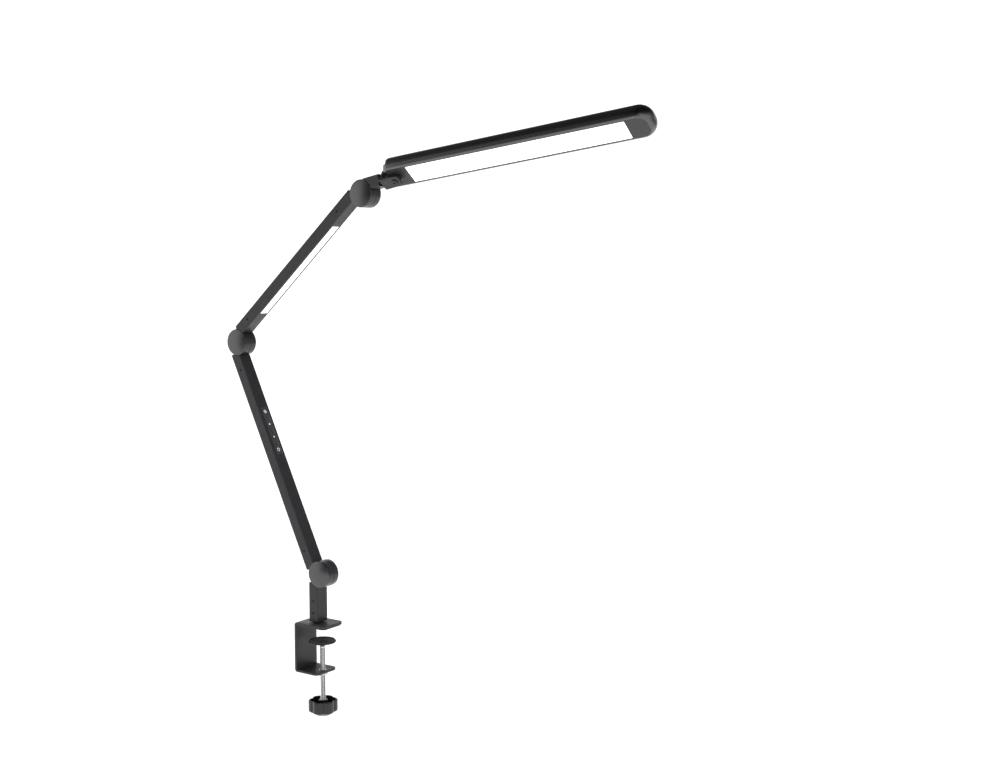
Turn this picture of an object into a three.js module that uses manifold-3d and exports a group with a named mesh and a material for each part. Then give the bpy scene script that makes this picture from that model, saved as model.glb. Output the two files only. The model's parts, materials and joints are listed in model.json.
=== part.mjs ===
// Architect desk lamp with a bench clamp: two folding square-tube arms, three drum joints,
// a short neck and a long light bar that rolls and swings on an L-shaped bracket.
// Millimetres, +Z up, +X out over the desk. The joint axes of the arms run along Y.
// Origin: underside of the rubber under the top jaw, on the axis of the clamp screw.
import * as THREE from 'three';
import { mergeVertices } from 'three/addons/utils/BufferGeometryUtils.js';
import Module from 'manifold-3d';

const wasm = await Module();
wasm.setup();

// ---------- driving dimensions ----------
const GAP = 0.3;                 // clearance between neighbouring pieces
const CUT = 1;                   // how far a cutting solid runs past the face it cuts
const ROUND = 48;                // sides of a large round
const FINE = 20;                 // sides of a small round

const LOWER_LENGTH = 380;        // between the first and second joint axes
const UPPER_LENGTH = 333;        // between the second and third joint axes
const NECK_LENGTH = 35.6;         // third joint axis to the end of the neck
const LOWER_LEAN = -25.4;        // degrees from upright, towards +X
const UPPER_LEAN = 48.7;
const NECK_LEAN = 79.2;
const HEAD_ROLL = -38.6;         // turn of the light bar about the neck
const HEAD_SWING = 5.1;          // turn of the light bar in its own plane

const TUBE_WIDTH = 17.6;         // in the plane the arms fold in
const TUBE_DEPTH = 22.2;         // along the joint axes
const TUBE_WALL = 1.8;
const TUBE_CORNER = 1.4;
const DRUM_RADIUS = 20;
const CAP_THICKNESS = 1.6;
const CAP_PROUD = 0.2;           // cap face beyond the tube face
const WASHER_THICKNESS = 0.8;
const WASHER_RADIUS = 19;
const TUBE_END_SETBACK = 14;     // flat cut of a tube end, from the joint axis
const WEB_START = 8;             // root of the web between drum and plug, from the joint axis
const PLUG_REACH = 48;           // depth of a knuckle's plug, from the joint axis
const BOLT_RADIUS = 3;
const BOLT_HEAD_RADIUS = 6;
const BOLT_HEAD_HEIGHT = 3.4;
const KNUCKLE_SCREW_SETBACK = 41.5;
const UPPER_TOP_SCREW_SETBACK = 49.5;
const FOOT_SCREW_HEIGHT = 15;
const TUBE_SCREW_RADIUS = 1.5;
const TUBE_SCREW_LENGTH = 4.5;
const TUBE_SCREW_SUNK = 0.6;

const JAW_WIDTH = 46;
const PLATE_THICKNESS = 3.6;
const TOP_REACH = 58.6;
const BOTTOM_REACH = 45;
const CLAMP_HEIGHT = 76.5;       // outside, top jaw to bottom plate
const THROAT = 32;               // screw axis to the inside of the back plate
const JAW_CORNER = 8;
const BEND_RADIUS = 4.5;         // outside of the bends
const LINER_THICKNESS = 1.6;
const LINER_INSET = 1.5;
const SCREW_RADIUS = 4;
const SCREW_BALL_RADIUS = 3;
const SCREW_NECK_RADIUS = 2.2;
const PRESS_NUT_RADIUS = 5.8;
const PRESS_NUT_FLANGE_RADIUS = 7.6;
const PRESS_NUT_FLANGE_HEIGHT = 3;
const JAW_OPENING = 21;          // liner to pad face as drawn
const PAD_RADIUS = 20.5;
const PAD_FACE_THICKNESS = 1.5;
const PAD_DISC_THICKNESS = 2;
const PAD_HUB_RADIUS = 6.5;
const PAD_HUB_HEIGHT = 4.5;
const KNOB_RADIUS = 22;
const KNOB_FLUTE = 3;            // depth of the hollows between the six lobes
const KNOB_LOBES = 6;
const KNOB_TURN = 41.8;          // degrees, direction of the first lobe
const KNOB_HEIGHT = 24.5;
const KNOB_TAPER = 7.5;          // height of the tapered lower end
const KNOB_END_RADIUS = 14;
const KNOB_WALL = 2.2;
const KNOB_HUB_RADIUS = 7;
const KNOB_TOP = -113.5;         // height of the knob's rim as drawn

const POST_OFFSET = -7.6;        // post axis from the screw axis
const POST_RISE = 75;            // top of the clamp to the first joint axis
const FOOT_WASHER_RADIUS = 8.4;
const FOOT_WASHER_THICKNESS = 0.8;
const FOOT_PLUG_HEIGHT = 24;
const FOOT_BOLT_RADIUS = 3;
const FOOT_BOLT_HEAD_RADIUS = 6;
const FOOT_BOLT_LENGTH = 18;
const INLET_HEIGHT = 42;         // power inlet above the clamp, on the back of the post
const INLET_RADIUS = 4.4;
const INLET_BORE = 3.2;
const INLET_DEPTH = 9;
const INLET_FLANGE_RADIUS = 6;
const INLET_FLANGE_THICKNESS = 1;

const PANEL_LENGTH = 78.5;
const PANEL_WIDTH = 13;
const PANEL_THICKNESS = 1.2;
const PANEL_PROUD = 0.3;
const PANEL_SETBACK = 147;       // its middle, from the second joint axis
const PANEL_SLOT_INSET = 2;      // ledge that the panel is glued to
const TOUCH_BOARD_THICKNESS = 1.2;

const STRIP_LOW_MARGIN = 65.8;   // second joint axis to the strip
const STRIP_HIGH_MARGIN = 72.7;  // strip to the third joint axis
const STRIP_WIDTH = 13.6;
const STRIP_THICKNESS = 1.6;
const STRIP_LEDGE = 1.5;
const STRIP_BOARD_THICKNESS = 1.2;
const STRIP_BOARD_GAP = 3;

const BRACKET_HALF_WIDTH = 9.2;
const BRACKET_DROP = 11.4;       // neck axis to the bracket's lowest face
const BRACKET_RISE = 11;         // neck axis to the top of the upright leg
const BRACKET_LEG = 2.8;
const TONGUE_THICKNESS = 3;
const BRACKET_FILLET = 3;        // inside corner between leg and tongue
const BRACKET_WEB = 2;           // thickness of the two curved side webs
const BRACKET_WEB_END = 66;      // where the webs run out, from the third joint axis
const BRACKET_WEB_CLEAR = 0.8;   // webs stay this far under the light bar
const ROLL_WASHER_THICKNESS = 0.8;
const ROLL_WASHER_RADIUS = 8;
const ROLL_BOLT_RADIUS = 3;
const ROLL_BOLT_HEAD_RADIUS = 4.6;
const ROLL_BOLT_LENGTH = 13;
const END_PLUG_LENGTH = 10;
const PIVOT_DISTANCE = 61;       // third joint axis to the swing axis, along the neck
const PIVOT_RADIUS = 6.7;
const PIVOT_BOLT_RADIUS = 2.5;
const PIVOT_BOLT_HEAD_RADIUS = 4.5;
const PIVOT_BOLT_HEAD_HEIGHT = 1.2;
const PIVOT_BOLT_LENGTH = 18;

const HEAD_LENGTH = 413.5;
const HEAD_WIDTH = 46;
const HEAD_HEIGHT = 23.4;
const HEAD_EDGE = 7;             // rounding of the shell's long edges
const HEAD_CORNER = 15;          // rounding of the shell's corners in plan
const HEAD_TAIL = 18.5;          // swing axis back to the near end of the shell
const HEAD_UNDERSIDE = -2;       // underside of the bar above the neck axis
const SHELL_WALL = 2.4;
const BEZEL_THICKNESS = 2;
const DIFFUSER_BORDER = 1.25;    // bezel beside the window
const DIFFUSER_MARGIN = 37.3;    // window to the far end of the bar
const DIFFUSER_START = 24.7;     // from the swing axis
const DIFFUSER_THICKNESS = 2;
const GUIDE_THICKNESS = 3;
const SHEET_THICKNESS = 0.8;
const LED_BOARD_THICKNESS = 1.2;
const LED_BOARD_HEIGHT = 4;
const SHELL_BOSS_RADIUS = 6;

// ---------- sizes that follow ----------
const HALF_DEPTH = TUBE_DEPTH / 2;
const TUBE_OFFSET = DRUM_RADIUS - TUBE_WIDTH / 2;
const TUBE_INSIDE = TUBE_WIDTH - 2 * TUBE_WALL;
const DEPTH_INSIDE = TUBE_DEPTH - 2 * TUBE_WALL;
const FRONT_FACE_X = TUBE_WIDTH / 2 - TUBE_OFFSET;
const CAP_OUTER = HALF_DEPTH + CAP_PROUD;
const CAP_INNER = CAP_OUTER - CAP_THICKNESS;
const HALF_OUTER = CAP_INNER - GAP;
const HALF_INNER = WASHER_THICKNESS / 2 + GAP;
const HEAD_RECESS = BOLT_HEAD_HEIGHT + 2 * GAP;
const JAW_UNDERSIDE = LINER_THICKNESS + GAP;
const JAW_TOP = JAW_UNDERSIDE + PLATE_THICKNESS;
const CLAMP_BOTTOM = JAW_TOP - CLAMP_HEIGHT;
const BACK_OUTSIDE = -THROAT - PLATE_THICKNESS;
const PAD_TOP = -JAW_OPENING;
const PAD_DISC_TOP = PAD_TOP - PAD_FACE_THICKNESS - GAP;
const PAD_HUB_BOTTOM = PAD_DISC_TOP - PAD_DISC_THICKNESS - PAD_HUB_HEIGHT;
const KNOB_BOTTOM = KNOB_TOP - KNOB_HEIGHT;
const PANEL_CENTRE = LOWER_LENGTH - PANEL_SETBACK;
const STRIP_LENGTH = UPPER_LENGTH - STRIP_LOW_MARGIN - STRIP_HIGH_MARGIN;
const STRIP_CENTRE = STRIP_LOW_MARGIN + STRIP_LENGTH / 2;
const DIFFUSER_LENGTH = HEAD_LENGTH - HEAD_TAIL - DIFFUSER_START - DIFFUSER_MARGIN;
const DIFFUSER_WIDTH = HEAD_WIDTH - 2 * HEAD_EDGE - 2 * DIFFUSER_BORDER;

// ---------- helpers ----------
const rad = THREE.MathUtils.degToRad;

// A closed three.js geometry as a solid that can be joined and cut.
function solid(geometry) {
  const bare = geometry.clone();
  bare.deleteAttribute('normal');
  bare.deleteAttribute('uv');
  const merged = mergeVertices(bare, 1e-4);
  const vertProperties = new Float32Array(merged.attributes.position.array);
  const triVerts = new Uint32Array(merged.index.array);
  return new wasm.Manifold(new wasm.Mesh({ numProp: 3, vertProperties, triVerts }));
}

// A named mesh from a solid, with flat faces.
function part(name, shape, material) {
  const mesh = shape.getMesh();
  const geometry = new THREE.BufferGeometry();
  geometry.setAttribute('position', new THREE.BufferAttribute(mesh.vertProperties, 3));
  geometry.setIndex(new THREE.BufferAttribute(mesh.triVerts, 1));
  geometry.computeVertexNormals();
  const result = new THREE.Mesh(geometry, material);
  result.name = name;
  return result;
}

function box(x0, x1, y0, y1, z0, z1) {
  const geometry = new THREE.BoxGeometry(x1 - x0, y1 - y0, z1 - z0);
  geometry.translate((x0 + x1) / 2, (y0 + y1) / 2, (z0 + z1) / 2);
  return solid(geometry);
}

// Round bars along Y and Z, and a cone frustum along Z.
function barY(radius, y0, y1, x = 0, z = 0, sides = FINE) {
  const geometry = new THREE.CylinderGeometry(radius, radius, y1 - y0, sides);
  geometry.translate(x, (y0 + y1) / 2, z);
  return solid(geometry);
}

function coneZ(radius0, radius1, z0, z1, x = 0, y = 0, sides = FINE) {
  const geometry = new THREE.CylinderGeometry(radius1, radius0, z1 - z0, sides);
  geometry.rotateX(Math.PI / 2);
  geometry.translate(x, y, (z0 + z1) / 2);
  return solid(geometry);
}

function barZ(radius, z0, z1, x = 0, y = 0, sides = FINE) {
  return coneZ(radius, radius, z0, z1, x, y, sides);
}

function barX(radius, x0, x1, y = 0, z = 0, sides = FINE) {
  const geometry = new THREE.CylinderGeometry(radius, radius, x1 - x0, sides);
  geometry.rotateZ(Math.PI / 2);
  geometry.translate((x0 + x1) / 2, y, z);
  return solid(geometry);
}

// Rectangle outline with a radius for its four corners, first the two at low x.
function outline(x0, x1, y0, y1, lowRadius, highRadius) {
  const shape = new THREE.Shape();
  shape.moveTo(x0 + lowRadius, y0);
  shape.lineTo(x1 - highRadius, y0);
  shape.absarc(x1 - highRadius, y0 + highRadius, highRadius, -Math.PI / 2, 0);
  shape.lineTo(x1, y1 - highRadius);
  shape.absarc(x1 - highRadius, y1 - highRadius, highRadius, 0, Math.PI / 2);
  shape.lineTo(x0 + lowRadius, y1);
  shape.absarc(x0 + lowRadius, y1 - lowRadius, lowRadius, Math.PI / 2, Math.PI);
  shape.lineTo(x0, y0 + lowRadius);
  shape.absarc(x0 + lowRadius, y0 + lowRadius, lowRadius, Math.PI, 1.5 * Math.PI);
  return shape;
}

// An outline in X and Y raised from z0 to z1.
function prismZ(shape, z0, z1, curveSegments = 4) {
  const geometry = new THREE.ExtrudeGeometry(shape, { depth: z1 - z0, bevelEnabled: false, curveSegments });
  geometry.translate(0, 0, z0);
  return solid(geometry);
}

// An outline drawn in X and Z, run along Y from y0 to y1.
function prismY(shape, y0, y1, curveSegments = 6) {
  const geometry = new THREE.ExtrudeGeometry(shape, { depth: y1 - y0, bevelEnabled: false, curveSegments });
  geometry.rotateX(Math.PI / 2);
  geometry.translate(0, y1, 0);
  return solid(geometry);
}

function finish(colour, roughness, metalness) {
  return new THREE.MeshStandardMaterial({ color: colour, roughness, metalness });
}

const blackPaint = finish(0x1d1d1f, 0.55, 0.2);
const glossShell = finish(0x121214, 0.3, 0.1);
const discFinish = finish(0x2a2a2c, 0.4, 0.4);
const darkPlastic = finish(0x232326, 0.5, 0);
const steel = finish(0xb9bcc0, 0.3, 1);
const chrome = finish(0xdfe2e6, 0.12, 1);
const rubber = finish(0x2b2b2d, 0.9, 0);
const nylon = finish(0x0f0f10, 0.6, 0);
const milky = finish(0xf6f6f2, 0.4, 0);
const board = finish(0xe9e9e4, 0.5, 0);
const clear = finish(0xdfe8ec, 0.1, 0);

// ---------- clamp ----------
function clampProfile() {
  const top = JAW_TOP;
  const low = CLAMP_BOTTOM;
  const t = PLATE_THICKNESS;
  const back = BACK_OUTSIDE;
  const inner = BEND_RADIUS - t;
  const shape = new THREE.Shape();
  shape.moveTo(back + TOP_REACH, top);
  shape.lineTo(back + BEND_RADIUS, top);
  shape.absarc(back + BEND_RADIUS, top - BEND_RADIUS, BEND_RADIUS, Math.PI / 2, Math.PI);
  shape.lineTo(back, low + BEND_RADIUS);
  shape.absarc(back + BEND_RADIUS, low + BEND_RADIUS, BEND_RADIUS, Math.PI, 1.5 * Math.PI);
  shape.lineTo(back + BOTTOM_REACH, low);
  shape.lineTo(back + BOTTOM_REACH, low + t);
  shape.lineTo(back + t + inner, low + t);
  shape.absarc(back + t + inner, low + t + inner, inner, 1.5 * Math.PI, Math.PI, true);
  shape.lineTo(back + t, top - t - inner);
  shape.absarc(back + t + inner, top - t - inner, inner, Math.PI, Math.PI / 2, true);
  shape.lineTo(back + TOP_REACH, top - t);
  return shape;
}

function jawPlan(x0, x1, inset, z0, z1) {
  const half = JAW_WIDTH / 2 - inset;
  return prismZ(outline(x0, x1, -half, half, 0.1, JAW_CORNER - inset), z0, z1, 6);
}

function clampBracket() {
  const mid = (JAW_TOP + CLAMP_BOTTOM) / 2;
  const upper = jawPlan(BACK_OUTSIDE - CUT, BACK_OUTSIDE + TOP_REACH, 0, mid, JAW_TOP + CUT);
  const lower = jawPlan(BACK_OUTSIDE - CUT, BACK_OUTSIDE + BOTTOM_REACH, 0, CLAMP_BOTTOM - CUT, mid);
  const strip = prismY(clampProfile(), -JAW_WIDTH / 2, JAW_WIDTH / 2);
  const sinkDepth = FOOT_BOLT_HEAD_RADIUS - FOOT_BOLT_RADIUS;
  const hole = barZ(FOOT_BOLT_RADIUS + GAP, JAW_UNDERSIDE - CUT, JAW_TOP + CUT, POST_OFFSET);
  const sink = coneZ(FOOT_BOLT_HEAD_RADIUS + GAP, FOOT_BOLT_RADIUS + GAP,
    JAW_UNDERSIDE, JAW_UNDERSIDE + sinkDepth, POST_OFFSET);
  const sinkMouth = barZ(FOOT_BOLT_HEAD_RADIUS + GAP, JAW_UNDERSIDE - CUT, JAW_UNDERSIDE, POST_OFFSET);
  const nutHole = barZ(PRESS_NUT_RADIUS + GAP, CLAMP_BOTTOM - CUT, CLAMP_BOTTOM + PLATE_THICKNESS + CUT);
  return strip.intersect(upper.add(lower))
    .subtract(hole).subtract(sink).subtract(sinkMouth).subtract(nutHole);
}

function jawLiner() {
  const front = BACK_OUTSIDE + TOP_REACH - LINER_INSET;
  return jawPlan(-THROAT + LINER_INSET, front, LINER_INSET, 0, LINER_THICKNESS);
}

function pressNut() {
  const flangeTop = CLAMP_BOTTOM - GAP;
  const shank = barZ(PRESS_NUT_RADIUS, flangeTop - CUT, CLAMP_BOTTOM + PLATE_THICKNESS);
  const flange = barZ(PRESS_NUT_FLANGE_RADIUS, flangeTop - PRESS_NUT_FLANGE_HEIGHT, flangeTop);
  const bore = barZ(SCREW_RADIUS + GAP, CLAMP_BOTTOM - PRESS_NUT_FLANGE_HEIGHT - CUT - GAP, JAW_UNDERSIDE);
  return shank.add(flange).subtract(bore);
}

function padFace() {
  return barZ(PAD_RADIUS - LINER_INSET, PAD_TOP - PAD_FACE_THICKNESS, PAD_TOP, 0, 0, ROUND);
}

function padDisc() {
  const discBottom = PAD_DISC_TOP - PAD_DISC_THICKNESS;
  const disc = barZ(PAD_RADIUS, discBottom, PAD_DISC_TOP, 0, 0, ROUND);
  const hub = barZ(PAD_HUB_RADIUS, PAD_HUB_BOTTOM, discBottom + PAD_DISC_THICKNESS / 2);
  const socket = barZ(SCREW_BALL_RADIUS + GAP, PAD_HUB_BOTTOM - CUT, discBottom - GAP);
  return disc.add(hub).subtract(socket);
}

function clampScrew() {
  const tip = PAD_DISC_TOP - PAD_DISC_THICKNESS - 2 * GAP;
  const end = KNOB_BOTTOM + KNOB_WALL + GAP;
  const shoulder = PAD_HUB_BOTTOM - GAP;
  const profile = [
    new THREE.Vector2(0, end),
    new THREE.Vector2(SCREW_RADIUS, end),
    new THREE.Vector2(SCREW_RADIUS, shoulder - SCREW_RADIUS + SCREW_NECK_RADIUS),
    new THREE.Vector2(SCREW_NECK_RADIUS, shoulder),
    new THREE.Vector2(SCREW_NECK_RADIUS, tip - SCREW_BALL_RADIUS),
    new THREE.Vector2(SCREW_BALL_RADIUS, tip - SCREW_BALL_RADIUS / 2),
    new THREE.Vector2(SCREW_BALL_RADIUS / 2, tip),
    new THREE.Vector2(0, tip),
  ];
  const geometry = new THREE.LatheGeometry(profile, FINE);
  geometry.rotateX(Math.PI / 2);
  return solid(geometry);
}

// Six round lobes: the radius falls by the flute depth half-way between two lobes.
function knobOutline(inset) {
  const steps = KNOB_LOBES * 12;
  const shape = new THREE.Shape();
  for (let i = 0; i < steps; i += 1) {
    const angle = (2 * Math.PI * i) / steps;
    const wave = (1 - Math.cos(KNOB_LOBES * angle)) / 2;
    const radius = KNOB_RADIUS - inset - KNOB_FLUTE * wave;
    const turn = angle + rad(KNOB_TURN);
    const x = radius * Math.cos(turn);
    const y = radius * Math.sin(turn);
    if (i === 0) shape.moveTo(x, y);
    else shape.lineTo(x, y);
  }
  return shape;
}

function clampKnob() {
  const taper = coneZ(KNOB_END_RADIUS, KNOB_RADIUS, KNOB_BOTTOM, KNOB_BOTTOM + KNOB_TAPER, 0, 0, ROUND);
  const straight = barZ(KNOB_RADIUS, KNOB_BOTTOM + KNOB_TAPER, KNOB_TOP + CUT, 0, 0, ROUND);
  const body = prismZ(knobOutline(0), KNOB_BOTTOM, KNOB_TOP).intersect(taper.add(straight));
  const floor = KNOB_BOTTOM + KNOB_TAPER;
  const pocket = prismZ(knobOutline(KNOB_WALL), floor, KNOB_TOP + CUT);
  const hub = barZ(KNOB_HUB_RADIUS, floor, KNOB_TOP);
  const bore = barZ(SCREW_RADIUS + GAP, KNOB_BOTTOM + KNOB_WALL, KNOB_TOP + CUT);
  return body.subtract(pocket.subtract(hub)).subtract(bore);
}

// ---------- tubes and drum joints ----------
// Each tube lies along local Z with its back face level with the rim of the drums.
// The drum of a joint is split: the half at -Y turns with the upper member, the half
// at +Y stays with the lower one, and each tube end is hollowed to let the other half turn.
function tubeSection(inset) {
  const halfWidth = TUBE_WIDTH / 2 - inset;
  const halfDepth = HALF_DEPTH - inset;
  const corner = Math.max(TUBE_CORNER - inset, 0.3);
  return outline(-TUBE_OFFSET - halfWidth, -TUBE_OFFSET + halfWidth, -halfDepth, halfDepth, corner, corner);
}

function drumCut(z) {
  return barY(DRUM_RADIUS + GAP, -HALF_DEPTH - CUT, HALF_DEPTH + CUT, 0, z, ROUND);
}

function hollowTube(z0, z1, drums) {
  let tube = prismZ(tubeSection(0), z0, z1, 3);
  tube = tube.subtract(prismZ(tubeSection(TUBE_WALL), z0 - CUT, z1 + CUT, 1));
  for (const z of drums) tube = tube.subtract(drumCut(z));
  return tube;
}

// Half drum with its plug. side is -1 for the half at -Y, way is +1 when the tube is above.
function knuckle(side, way, reach) {
  const y0 = side * HALF_INNER;
  const y1 = side * HALF_OUTER;
  const half = barY(DRUM_RADIUS, Math.min(y0, y1), Math.max(y0, y1), 0, 0, ROUND);
  const inside = TUBE_INSIDE / 2 - GAP;
  const insideDepth = DEPTH_INSIDE / 2 - GAP;
  const yWeb0 = Math.min(side * HALF_INNER, side * insideDepth);
  const yWeb1 = Math.max(side * HALF_INNER, side * insideDepth);
  const clear = DRUM_RADIUS + 2 * GAP;
  const flip = (a, b) => (way > 0 ? [a, b] : [-b, -a]);
  const [webLow, webHigh] = flip(WEB_START, clear + CUT);
  const [plugLow, plugHigh] = flip(clear, reach);
  const web = box(-TUBE_OFFSET - inside, -TUBE_OFFSET + inside, yWeb0, yWeb1, webLow, webHigh);
  const plug = box(-TUBE_OFFSET - inside, -TUBE_OFFSET + inside, -insideDepth, insideDepth,
    plugLow, plugHigh);
  const bore = barY(BOLT_RADIUS + GAP, -HALF_DEPTH, HALF_DEPTH);
  const recessInner = side * (HALF_OUTER - HEAD_RECESS);
  const recessOuter = side * (HALF_OUTER + CUT);
  const recess = barY(BOLT_HEAD_RADIUS + GAP,
    Math.min(recessInner, recessOuter), Math.max(recessInner, recessOuter));
  return half.add(web).add(plug).subtract(bore).subtract(recess);
}

function drumCap(side) {
  const y0 = Math.min(side * CAP_INNER, side * CAP_OUTER);
  const y1 = Math.max(side * CAP_INNER, side * CAP_OUTER);
  return barY(DRUM_RADIUS, y0, y1, 0, 0, ROUND);
}

function drumWasher() {
  const half = WASHER_THICKNESS / 2;
  const ring = barY(WASHER_RADIUS, -half, half, 0, 0, ROUND);
  return ring.subtract(barY(BOLT_RADIUS + GAP, -CUT, CUT));
}

// The axle bolt has its head in the +Y half and its nut in the -Y half.
function axleBolt() {
  const headInner = HALF_OUTER - BOLT_HEAD_HEIGHT - GAP;
  const head = barY(BOLT_HEAD_RADIUS, headInner, headInner + BOLT_HEAD_HEIGHT);
  const shank = barY(BOLT_RADIUS, -HALF_OUTER + GAP, headInner + GAP);
  return head.add(shank);
}

function axleNut() {
  const nutInner = -HALF_OUTER + BOLT_HEAD_HEIGHT + GAP;
  const nut = barY(BOLT_HEAD_RADIUS, -HALF_OUTER + GAP, nutInner, 0, 0, 6);
  return nut.subtract(barY(BOLT_RADIUS + GAP, -HALF_DEPTH, HALF_DEPTH));
}

// Small screw through the -Y wall of a tube into a knuckle's plug, on the tube's centre line.
function tubeScrew(z) {
  const y0 = -HALF_DEPTH + TUBE_SCREW_SUNK;
  return barY(TUBE_SCREW_RADIUS, y0, y0 + TUBE_SCREW_LENGTH, -TUBE_OFFSET, z, FINE / 2);
}

function tubeScrewHole(z) {
  const y1 = -HALF_DEPTH + TUBE_SCREW_SUNK + TUBE_SCREW_LENGTH + GAP;
  return barY(TUBE_SCREW_RADIUS + GAP, -HALF_DEPTH - CUT, y1, -TUBE_OFFSET, z, FINE / 2);
}

function addJointHardware(group, joint, lower) {
  if (lower) {
    group.add(part(`${joint}_rear_cap`, drumCap(1), discFinish));
    group.add(part(`${joint}_bolt`, axleBolt(), steel));
    group.add(part(`${joint}_nut`, axleNut(), steel));
    group.add(part(`${joint}_washer`, drumWasher(), nylon));
  } else {
    group.add(part(`${joint}_front_cap`, drumCap(-1), discFinish));
  }
}

// ---------- post ----------
// Local frame: first joint axis at the origin, so the post hangs down to the clamp.
function postTube() {
  const foot = -POST_RISE + FOOT_WASHER_THICKNESS + 2 * GAP;
  const tube = hollowTube(foot, -TUBE_END_SETBACK, [0]);
  const screws = tubeScrewHole(-KNUCKLE_SCREW_SETBACK).add(tubeScrewHole(-POST_RISE + FOOT_SCREW_HEIGHT));
  return tube.subtract(screws).subtract(inletHole());
}

function inletHole() {
  const face = -TUBE_OFFSET - TUBE_WIDTH / 2;
  return barX(INLET_RADIUS + GAP, face - CUT, face + INLET_DEPTH + GAP, 0, INLET_HEIGHT - POST_RISE);
}

function footPlug() {
  const inside = TUBE_INSIDE / 2 - GAP;
  const insideDepth = DEPTH_INSIDE / 2 - GAP;
  const low = -POST_RISE + FOOT_WASHER_THICKNESS + 2 * GAP;
  const plug = box(-TUBE_OFFSET - inside, -TUBE_OFFSET + inside, -insideDepth, insideDepth,
    low, low + FOOT_PLUG_HEIGHT);
  const bore = barZ(FOOT_BOLT_RADIUS + GAP, low - CUT, low + FOOT_PLUG_HEIGHT + CUT, -TUBE_OFFSET);
  return plug.subtract(bore).subtract(tubeScrewHole(-POST_RISE + FOOT_SCREW_HEIGHT));
}

function footWasher() {
  const low = -POST_RISE + GAP;
  const ring = barZ(FOOT_WASHER_RADIUS, low, low + FOOT_WASHER_THICKNESS, -TUBE_OFFSET, 0, ROUND);
  return ring.subtract(barZ(FOOT_BOLT_RADIUS + GAP, low - CUT, low + CUT, -TUBE_OFFSET));
}

// Countersunk bolt from under the top jaw, locked in the foot plug: the post turns on it.
function footBolt() {
  const headLow = -POST_RISE - PLATE_THICKNESS;
  const sinkDepth = FOOT_BOLT_HEAD_RADIUS - FOOT_BOLT_RADIUS;
  const head = coneZ(FOOT_BOLT_HEAD_RADIUS - GAP, FOOT_BOLT_RADIUS, headLow, headLow + sinkDepth - GAP,
    -TUBE_OFFSET);
  const shank = barZ(FOOT_BOLT_RADIUS, headLow + sinkDepth - 2 * GAP, headLow + FOOT_BOLT_LENGTH,
    -TUBE_OFFSET);
  return head.add(shank);
}

function powerInlet() {
  const face = -TUBE_OFFSET - TUBE_WIDTH / 2;
  const z = INLET_HEIGHT - POST_RISE;
  const body = barX(INLET_RADIUS, face - GAP - INLET_FLANGE_THICKNESS / 2, face + INLET_DEPTH, 0, z);
  const flange = barX(INLET_FLANGE_RADIUS, face - GAP - INLET_FLANGE_THICKNESS, face - GAP, 0, z);
  const mouth = barX(INLET_BORE, face - INLET_FLANGE_THICKNESS - CUT, face + INLET_DEPTH - CUT, 0, z);
  return body.add(flange).subtract(mouth);
}

function makePost() {
  const post = new THREE.Group();
  const upperPlug = knuckle(1, -1, PLUG_REACH).subtract(tubeScrewHole(-KNUCKLE_SCREW_SETBACK))
    .subtract(inletHole());
  post.add(part('post_tube', postTube(), blackPaint));
  post.add(part('post_foot_plug', footPlug(), blackPaint));
  post.add(part('post_foot_washer', footWasher(), nylon));
  post.add(part('post_foot_bolt', footBolt(), steel));
  post.add(part('post_knuckle', upperPlug, blackPaint));
  post.add(part('post_screw_top', tubeScrew(-KNUCKLE_SCREW_SETBACK), nylon));
  post.add(part('post_screw_foot', tubeScrew(-POST_RISE + FOOT_SCREW_HEIGHT), nylon));
  post.add(part('power_inlet', powerInlet(), darkPlastic));
  addJointHardware(post, 'joint1', true);
  return post;
}

// ---------- lower arm ----------
function faceSlot(centre, length, width, depthIn) {
  return box(FRONT_FACE_X - depthIn, FRONT_FACE_X + CUT, -width / 2, width / 2,
    centre - length / 2, centre + length / 2);
}

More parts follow.
